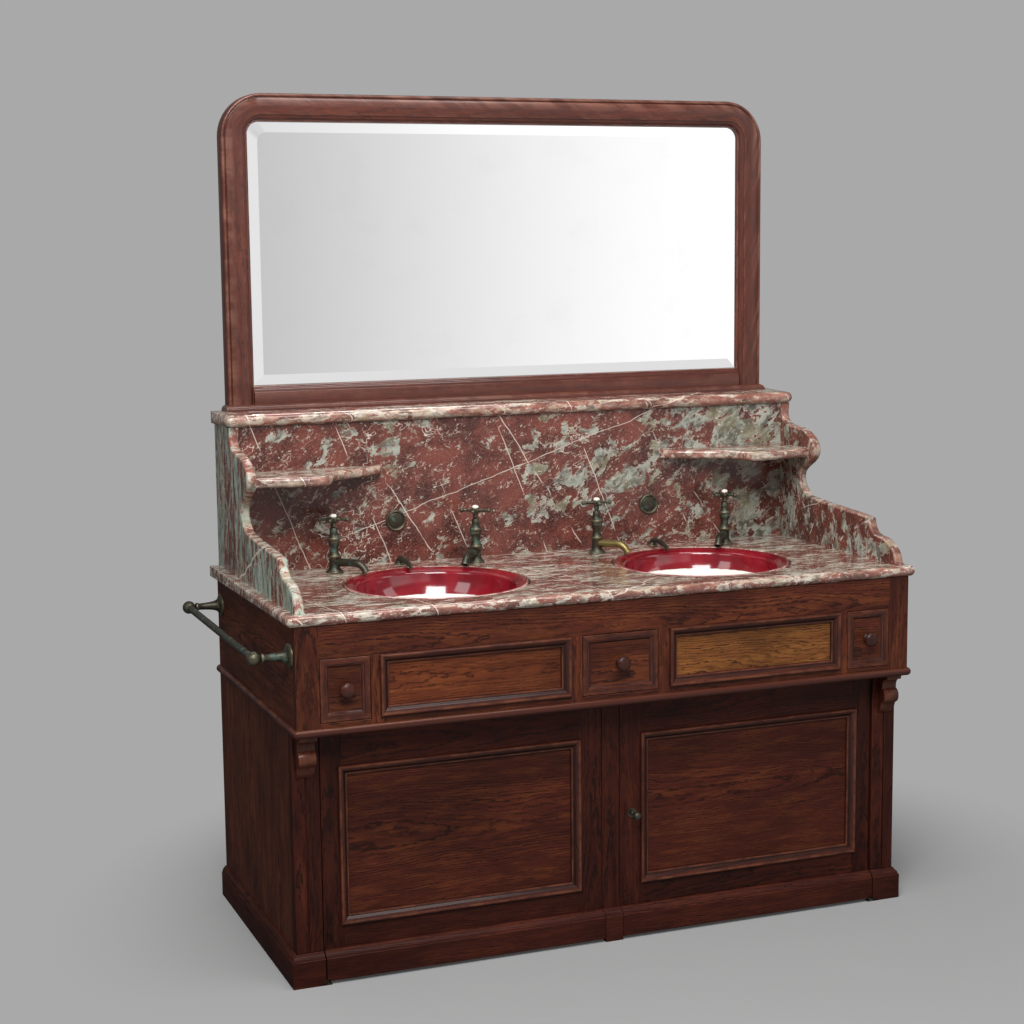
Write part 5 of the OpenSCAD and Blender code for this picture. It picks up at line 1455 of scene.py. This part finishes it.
rimStop = {"foot": 13 * mm, "footIn": 14 * mm, "widths": (1.3, 1.15, 1.0, 1.05, 1.1, 1.0, 0.75, 0.45),
           "radius": 5.6 * mm, "bend": 20 * mm}


def buildRimStops():
    low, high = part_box("rim_stops")
    back, tip = high.y - rimStop["footIn"], low.y
    spots = ((back, 5), (back, 9), (back - 4 * mm, 13), (back - 20 * mm, 15.2), (back - 48 * mm, 14),
             (back - 70 * mm, 10), (tip + 8 * mm, 6.2), (tip + 1.5 * mm, 3.2))
    paths = [[((centre.x, y, low.z + up * mm), width) for (y, up), width in zip(spots, rimStop["widths"])]
             for centre in bowlCentres]
    mesh = startMesh()
    tubes(mesh, paths, rimStop["radius"], "bronze", 18, rimStop["bend"])
    foot = rimStop["foot"] / mm
    profile = [(0, 0), (foot, 0), (foot, 1.6, 1), (foot - 1, 2.6, 1), (foot - 3, 3.2), (foot - 4, 5),
               (foot - 5, 8), (0, 9)]
    for centre in bowlCentres:
        turned(mesh, profile, spot((centre.x, back, low.z)), 32)
    finishMesh("rimStops", mesh, "washstand", ["rim_stops"], ["bronze"], smooth=50)


splashFace = -141 * mm


def buildDiscs():
    low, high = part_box("splash_discs")
    radius = (high.z - low.z) / 2 / mm
    profile = [(0, -28), (15, -28), (15, -22), (9, -22), (9, 0), (radius, 0), (radius, 3, 0.4),
               (radius - 0.8, 5.6, 1), (radius - 2.4, 6.8, 1), (radius - 4.2, 5.8, 0.5), (radius - 5, 3.6),
               (radius - 6.5, 3.0), (radius - 7.4, 3.6), (radius - 11, 4.4), (0.3 * radius, 5.4),
               (0.14 * radius, 5.7), (0, 5.8)]
    mesh = startMesh()
    for centre in bowlCentres:
        turned(mesh, profile, spot((centre.x, splashFace, (low.z + high.z) / 2), 90, "X"), 48)
    finishMesh("splashDiscs", mesh, "washstand", ["splash_discs"], ["bronze"], smooth=40)


tap = {"shank": 13, "spoutUp": 25 * mm, "reach": (91 * mm, 86 * mm, 88 * mm, 86 * mm), "bend": 32 * mm,
       "droop": 58, "spout": 8.8 * mm, "turns": (20, 8, 40, 65), "across": 174.5 * mm, "back": 213 * mm,
       "mouth": 7 * mm, "armDown": 6 * mm, "buttonDown": 2 * mm, "tailTop": 24, "threads": 14}
wornTap = 2  # its spout is worn to the brass
aimTurn = math.degrees(math.atan2(tap["across"], tap["back"]))
spoutTurns = [aimTurn, -aimTurn, aimTurn, -aimTurn]


def tapProfile():
    return [(0, -24), (tap["shank"], -24), (tap["shank"], 0), (21, 0), (21, 2, 0.6), (20, 3.4, 1),
            (17.4, 4.6), (16.6, 6.4, 0.5), (14, 8.6), (12.4, 12), (12, 16), (12.2, 32), (13.4, 34.6, 0.5),
            (15, 36.4, 1), (15.2, 39, 1), (14, 41.4, 0.5), (11.6, 43.6), (10.4, 47), (9.4, 52), (9.2, 56),
            (10.8, 62), (13, 67), (13.6, 71, 0.5), (12.6, 74.6), (14.6, 76.4, 1), (15, 79, 1),
            (14.4, 81.6, 1), (11, 84), (9.6, 87), (9.0, 94), (9.6, 98, 0.5), (8.6, 101.6), (7.4, 104),
            (0, 104)]


def spoutRoute(reach):  # level, then bent down, with a flared mouth; and the place of the mouth's rim
    up, bend, droop = tap["spoutUp"], tap["bend"], math.radians(tap["droop"])
    level = reach - bend * math.sin(droop) - tap["mouth"]
    route = [((0, -2 * mm, up), 1.1), ((0, -20 * mm, up), 1.05), ((0, -level, up + mm), 1.0)]
    for k in range(1, 11):
        swing = droop * k / 10
        drop = bend * (1 - math.cos(swing))
        route.append(((0, -level - bend * math.sin(swing), up + mm - drop), 1 - 0.014 * k))
    away = Vector((0, -math.cos(droop), -math.sin(droop)))
    end = Vector(route[-1][0])
    route += [(end + away * out * mm, width) for out, width in ((1.5, 0.88), (2, 1.04), (3, 1.04))]
    mouth = away.to_track_quat("Z", "Y").to_matrix().to_4x4()
    return route, Matrix.Translation(end + away * 5.5 * mm) @ mouth


def buildTapBodies():
    mesh = startMesh()
    paths, mouths = [], []
    for place, turn, reach in zip(tapPlaces, spoutTurns, tap["reach"]):
        aim = spot(place, turn)
        route, mouth = spoutRoute(reach)
        mouths.append(aim @ mouth)
        paths.append([(tuple(aim @ Vector(point)), width) for point, width in route])
    tubes(mesh, paths, tap["spout"], "bronze", 22)
    for face in mesh.faces:
        nearest = min(range(4), key=lambda i: (face.calc_center_median().xy - tapPlaces[i].xy).length)
        face.material_index = 1 if nearest == wornTap else 0
    for i, mouth in enumerate(mouths):
        pipeMouth(mesh, mouth, tap["spout"] / mm * 1.04, 2, 3.4, 1 if i == wornTap else 0)
    tail = (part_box("tap_bodies")[0].z - tapPlaces[0].z) / mm
    threads, pitch = [(0, -tap["tailTop"])], (tail + tap["tailTop"]) / tap["threads"]
    for k in range(tap["threads"]):  # a coarse threaded tail under the marble
        threads += [(9.6, pitch * k - tap["tailTop"]), (10.4, pitch * (k + 0.5) - tap["tailTop"])]
    threads += [(9.6, tail), (0, tail)]
    for place in tapPlaces:
        turned(mesh, tapProfile(), spot(place), 40)
        turned(mesh, threads, spot(place), 24)
    finishMesh("tapBodies", mesh, "washstand", ["tap_bodies"], ["bronze", "wornBrass"], smooth=44)


def buildTapHandle(i, x, y, turn):
    body = "tap_handle_%d" % (i + 1)
    low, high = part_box(body)
    foot, top = low.z / mm, high.z / mm
    hub = top - 22
    stem = [(0, foot), (4, foot), (4, hub - 2), (6, hub - 1.2), (6.4, hub + 2, 0.6), (6, hub + 5),
            (5.4, hub + 9), (7, hub + 10), (8.6, hub + 12, 0.6), (9, hub + 16, 1), (9, top - 0.8, 1),
            (8.6, top, 1), (7.9, top - 0.2, 0.5), (7.9, top - 2), (0, top - 2)]
    arm = [(0, 5), (4.4, 6), (4.0, 10), (3.4, 16), (3.2, 21), (3.5, 24), (4.4, 25, 0.8), (4.4, 26.4, 0.8),
           (3.4, 27.4)] + withWearAndLight(arcPoints((0, 32.6), (5.4, 5.4), -54, 90, 9), 0.5)
    mesh = startMesh()
    turned(mesh, stem, spot((x, y, 0)), 32)
    for quarter in range(4):
        place = spot((x, y, high.z - tap["armDown"]), turn + tap["turns"][i] + 90 * quarter)
        turned(mesh, arm, place @ Matrix.Rotation(math.radians(90), 4, "Y"), 20)
    finishMesh("tapHandle%d" % (i + 1), mesh, body, [body], ["bronze"], smooth=46)
    mesh = startMesh()
    button = [(0, 0), (7.5, 0), (7.7, 3), (7.6, 5.2)] + arcPoints((0, 5.2), (7.4, 3.2), 14, 90, 9)
    turned(mesh, button, spot((x, y, high.z - tap["buttonDown"])), 32)
    finishMesh("tapButton%d" % (i + 1), mesh, body, ["tap_button_%d" % (i + 1)], ["porcelain"],
               smooth=50)


towelRail = {"bar": 8 * mm, "ball": 15 * mm, "rose": 27 * mm, "out": 77 * mm}


def buildTowelRail():
    low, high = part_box("towel_rail")
    x, z = (low.x + high.x) / 2, (low.z + high.z) / 2
    ends = (low.y + towelRail["ball"], high.y - towelRail["ball"])
    bar, ball, rose, out = (towelRail[key] / mm for key in ("bar", "ball", "rose", "out"))
    knob = withWearAndLight(arcPoints((0, 0), (ball, ball), -90, 50, 16), 0.4)
    knob += [(bar + 1.2, ball - 2), (bar + 3, ball - 0.4, 1), (bar + 3, ball + 2.4, 1), (bar + 1, ball + 4),
             (bar + 1, ball + 7, 0.6), (bar, ball + 8)]
    bracket = [(0, 0), (rose, 0), (rose, 2, 0.6), (rose - 1.2, 3.4, 1), (rose - 3.4, 4, 0.5),
               (rose - 4.4, 5.4, 0.8), (rose - 6, 6)]
    bracket += cubic((0.74 * rose, 6.4), (0.5 * rose, 8), (0.4 * rose, 14), (0.33 * rose, 30), 8)
    bracket += [(0.30 * rose, 40), (0.28 * rose, out - 24), (0.34 * rose, out - 21, 0.8),
                (0.36 * rose, out - 18, 1), (0.30 * rose, out - 15.6), (0.24 * rose, out - 14.4),
                (0, out - 14)]
    mesh = startMesh()
    tubes(mesh, [[((x, y, z), 1) for y in ends]], towelRail["bar"], "bronze", 28)
    for y, turn in zip(ends, (-90, 90)):
        turned(mesh, knob, spot((x, y, z), turn, "X"), 36)
    finishMesh("towelRail", mesh, "washstand", ["towel_rail"], ["bronze"], smooth=50)
    mesh = startMesh()
    for y in ends:
        turned(mesh, bracket, spot((-sideX, y, z), -90, "Y"), 40)
    finishMesh("railBrackets", mesh, "washstand", ["rail_brackets"], ["bronze"], smooth=46)


pipes = {"wasteRadius": 20 * mm, "trapBend": 45 * mm, "wasteZ": 500 * mm, "wallGap": 12 * mm,
         "nutDown": 26 * mm, "supplyRadius": 7.5 * mm, "supplyUp": 8 * mm}


def pipeMouth(mesh, place, outer, wall, long, slot=0):  # a tube's open end, from its face back along -Z
    profile = [(outer - wall, 0, 0.6), (outer, 0, 1), (outer, -long), (outer - wall, -long)]
    turned(mesh, profile, place, 28, slot, ring=True)


def hexNut(mesh, place, across, low, high):
    profile = [(0.62 * across, low), (across, low + 1, 1), (across, high - 1, 1), (0.62 * across, high)]
    turned(mesh, profile, place, 6, ring=True)


def trapRoute(x, y, topZ, lowZ):  # down from the bowl, round the trap, and back into the wall
    bend, wasteZ = pipes["trapBend"], pipes["wasteZ"]
    route = [(x, y, topZ)]
    route += [(x, v, z) for v, z in arcPoints((y + bend, lowZ), (bend, bend), 180, 360, 12)]
    route += [(x, v, z) for v, z in arcPoints((y + 3 * bend, wasteZ - bend), (bend, bend), 180, 90, 6)]
    return [(point, 1) for point in route + [(x, -pipes["wallGap"], wasteZ)]]


def buildTraps():
    low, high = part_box("waste_traps")
    bend, radius = pipes["trapBend"], pipes["wasteRadius"]
    lowZ = low.z + bend + radius
    mesh = startMesh()
    tubes(mesh, [trapRoute(*centre.xy, high.z, lowZ) for centre in bowlCentres], radius, "brass", 28)
    for x, y, rimZ in bowlCentres:
        for nutY, nutZ in ((y, high.z - pipes["nutDown"]), (y, lowZ), (y + 2 * bend, lowZ)):
            hexNut(mesh, spot((x, nutY, nutZ)), radius / mm + 6, 0, 16)
        pipeMouth(mesh, spot((x, 0, pipes["wasteZ"]), -90, "X"), radius / mm, 3, 13)
    finishMesh("wasteTraps", mesh, "washstand", ["waste_traps"], ["brass"], smooth=40)


def buildSupplies():
    low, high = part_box("supply_pipes")
    jointZ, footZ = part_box("tap_bodies")[0].z, low.z + pipes["supplyUp"]
    top, joint = high.z / mm, jointZ / mm
    mesh = startMesh()
    tubes(mesh, [[((x, y, z), 1) for z in (footZ, jointZ)] for x, y, rimZ in tapPlaces],
          pipes["supplyRadius"], "brass", 20)
    for x, y, rimZ in tapPlaces:
        pipeMouth(mesh, spot((x, y, low.z), 180, "X"), pipes["supplyRadius"] / mm, 1.2, 9)
        hexNut(mesh, spot((x, y, 0)), 18.4, top - 9, top)
        hexNut(mesh, spot((x, y, 0)), 15.4, joint - 8, joint + 8)
    finishMesh("supplyPipes", mesh, "washstand", ["supply_pipes"], ["brass"], smooth=40)


for name, centre in zip(("left", "right"), bowlCentres):
    buildBowl(name, centre)
buildRimStops()
buildDiscs()
buildTapBodies()
for i in range(4):
    buildTapHandle(i, *tapPlaces[i].xy, spoutTurns[i])
buildTowelRail()
buildTraps()
buildSupplies()
print("bowls and fittings built")

# ---- carried-over parts keep their shape and take a finish
carried = {
    "back_panel": "backPlanks", "cupboard_floor": "shelfPlanks", "dust_board": "shelfPlanks",
    "drawer_bays": "sideBoards", "splashback": "uprightMarble", "receivers": "stoneware",
    "pivot_plates_left": "bronze", "pivot_plates_right": "bronze", "pivot_sockets": "bronze",
    "latch_case": "bronze", "latch_bolt": "brass", "latch_knob": "bronze",
}
for node, finish in carried.items():
    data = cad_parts[node].data
    data.materials.clear()
    data.materials.append(finishes[finish])

nails = {"pitch": 95 * mm, "inset": 12 * mm, "head": 2.4 * mm, "soffitUp": 9 * mm}


def buildNails():  # three rows across the back panel
    low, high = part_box("back_panel")
    inset, count = nails["inset"], int((high.x - low.x) / nails["pitch"])
    spots = []
    for i in range(count + 1):
        x = low.x + inset + (high.x - low.x - 2 * inset) * i / count
        for z in (low.z + inset, soffitZ + nails["soffitUp"], high.z - inset):
            spots.append(((x, headMiddle, z), (0, 1, 0)))
    screws("backPanel", "washstand", spots, nails["head"], "brass")


latchScrews = {"sunk": 0.5 * mm, "fromFoot": 5 * mm, "fromTop": 4 * mm, "back": 1 * mm, "head": 2.2 * mm}


def buildLatchScrews():
    x = latchBox[0].x + latchScrews["sunk"]
    y = (latchBox[0].y + latchBox[1].y) / 2 + latchScrews["back"]
    heights = (latchBox[0].z + latchScrews["fromFoot"], latchBox[1].z - latchScrews["fromTop"])
    screws("latchCase", "door_right", [((x, y, z), (-1, 0, 0)) for z in heights],
           latchScrews["head"], "brass")


buildNails()
buildLatchScrews()
print("carried-over parts dressed")

# ---- floor, light and camera
room = {"grey": 0.397, "floorShade": 0.31, "fadeFrom": 0.6, "fadeTo": 1.45, "ambient": 0.24, "sheen": 0.76,
        "mirrorGrey": 0.52, "mirrorWhite": 1.08, "dark": 0.22, "steady": 0.1, "floorHalf": 14.0,
        "middle": (0.12, -0.45, 0)}


def buildFloor():
    mesh = bmesh.new()
    bmesh.ops.create_grid(mesh, x_segments=8, y_segments=8, size=room["floorHalf"])
    data = meshData("studioFloor", mesh)
    floor = placed("studioFloor", data)
    finish = bpy.data.materials.new("studioFloor")
    finish.use_nodes = True
    tree = finish.node_tree
    tree.nodes.clear()
    place = objectPlace(tree)
    away = add(tree, "VectorMath", {0: place, 1: room["middle"]}, operation="DISTANCE").outputs["Value"]
    mottled = noise(tree, place, 3.0, 2.0, 0.5)
    shade = calc(tree, "MULTIPLY_ADD", mottled, 0.01, room["floorShade"])
    shade = add(tree, "CombineXYZ", {0: shade, 1: shade, 2: shade}).outputs[0]
    near = add(tree, "BsdfDiffuse", {"Color": shade})
    path = add(tree, "LightPath")
    glossy = path.outputs["Is Glossy Ray"]
    ahead = graded(tree, add(tree, "SeparateXYZ", {0: place}).outputs["Y"], -0.6, -1.4, 0.06, room["sheen"])
    level = calc(tree, "MULTIPLY_ADD", glossy, calc(tree, "SUBTRACT", ahead, room["grey"]), room["grey"])
    far = add(tree, "Emission", {"Strength": level})
    share = graded(tree, away, room["fadeFrom"], calc(tree, "MULTIPLY_ADD", glossy, -0.6, room["fadeTo"]))
    share = calc(tree, "MAXIMUM", share, times(tree, path.outputs["Is Camera Ray"], room["steady"]))
    share = times(tree, share, calc(tree, "MAXIMUM", path.outputs["Is Camera Ray"], glossy))
    both = add(tree, "MixShader", {0: share, 1: near.outputs[0], 2: far.outputs[0]})
    add(tree, "OutputMaterial", {"Surface": both.outputs[0]})
    data.materials.append(finish)


def buildWorld():
    world = bpy.data.worlds.new("studioWorld")
    bpy.context.scene.world = world
    world.use_nodes = True
    tree = world.node_tree
    tree.nodes.clear()
    x, y, z = add(tree, "SeparateXYZ", {0: add(tree, "TexCoord").outputs["Generated"]}).outputs
    side = calc(tree, "ARCTAN2", x, times(tree, y, -1.0))  # to the right of straight ahead of the glass
    degree = math.radians(1)
    # the grey that the mirror shows is paler to the right, at its left edge and higher up
    level = graded(tree, side, 10 * degree, 29 * degree, room["mirrorGrey"], room["mirrorWhite"])
    level = calc(tree, "ADD", level, graded(tree, side, 7 * degree, 0, 0.0, 0.28))
    level = calc(tree, "ADD", level, graded(tree, z, 0.14, 0.22, 0.0, 0.16))
    across = times(tree, graded(tree, side, -14 * degree, -6 * degree),
                   graded(tree, side, 60 * degree, 48 * degree))
    upward = times(tree, graded(tree, z, -0.5, -0.4), graded(tree, z, 0.4, 0.3))
    window = times(tree, across, upward)  # beyond it the other surfaces reflect a dark room
    level = calc(tree, "MULTIPLY_ADD", calc(tree, "SUBTRACT", level, room["dark"]), window, room["dark"])
    path = add(tree, "LightPath")
    glossy = path.outputs["Is Glossy Ray"]
    strength = calc(tree, "SUBTRACT", level, room["ambient"])
    strength = calc(tree, "MULTIPLY_ADD", strength, glossy, room["ambient"])
    camera = path.outputs["Is Camera Ray"]
    strength = calc(tree, "MULTIPLY_ADD", calc(tree, "SUBTRACT", room["grey"], strength), camera, strength)
    back = add(tree, "Background", {"Color": (1, 1, 1, 1), "Strength": strength})
    add(tree, "OutputWorld", {"Surface": back.outputs[0]})


lamps = {  # place, point aimed at, size, power in watts
    "frontSoftbox": ((-1.2, -3.2, 3.4), (0, -0.5, 0.8), (1.9, 1.3), 124.0),
    "leftSoftbox": ((-3.4, -1.9, 2.8), (-0.3, -0.4, 0.6), (1.4, 1.4), 20.0),
    "rightSoftbox": ((3.2, -2.0, 2.8), (0.2, -0.4, 0.8), (1.4, 1.4), 12.0),
    "topSoftbox": ((0.0, -1.6, 3.8), (0, -0.5, 0.8), (2.2, 1.2), 68.0),
}


def buildLamps():
    for name, (place, target, size, power) in lamps.items():
        light = bpy.data.lights.new(name, "AREA")
        light.shape = "RECTANGLE"
        light.size, light.size_y = size
        light.energy = power
        lamp = placed(name, light)
        lamp.location = place
        lamp.rotation_euler = (Vector(target) - Vector(place)).to_track_quat("-Z", "Y").to_euler()


view = {"place": (-1.7264, -4.4593, 1.5595), "yaw": 21.40, "pitch": -7.94, "roll": -0.62, "lens": 67.73}


def buildCamera():
    yaw, pitch, roll = (math.radians(view[key]) for key in ("yaw", "pitch", "roll"))
    ahead = Vector((math.sin(yaw) * math.cos(pitch), math.cos(yaw) * math.cos(pitch), math.sin(pitch)))
    level = Vector((math.cos(yaw), -math.sin(yaw), 0))
    upright = level.cross(ahead)
    right = level * math.cos(roll) + upright * math.sin(roll)
    above = upright * math.cos(roll) - level * math.sin(roll)
    lens = bpy.data.cameras.new("photoCamera")
    lens.lens = view["lens"]
    lens.sensor_width = 36
    lens.sensor_fit = "HORIZONTAL"
    camera = placed("photoCamera", lens)
    turn = Matrix((right, above, -ahead)).transposed().to_4x4()
    camera.matrix_world = Matrix.Translation(view["place"]) @ turn
    bpy.context.scene.camera = camera


buildFloor()
buildWorld()
buildLamps()
buildCamera()
bpy.context.scene.view_settings.view_transform = "Standard"
print("scene ready")
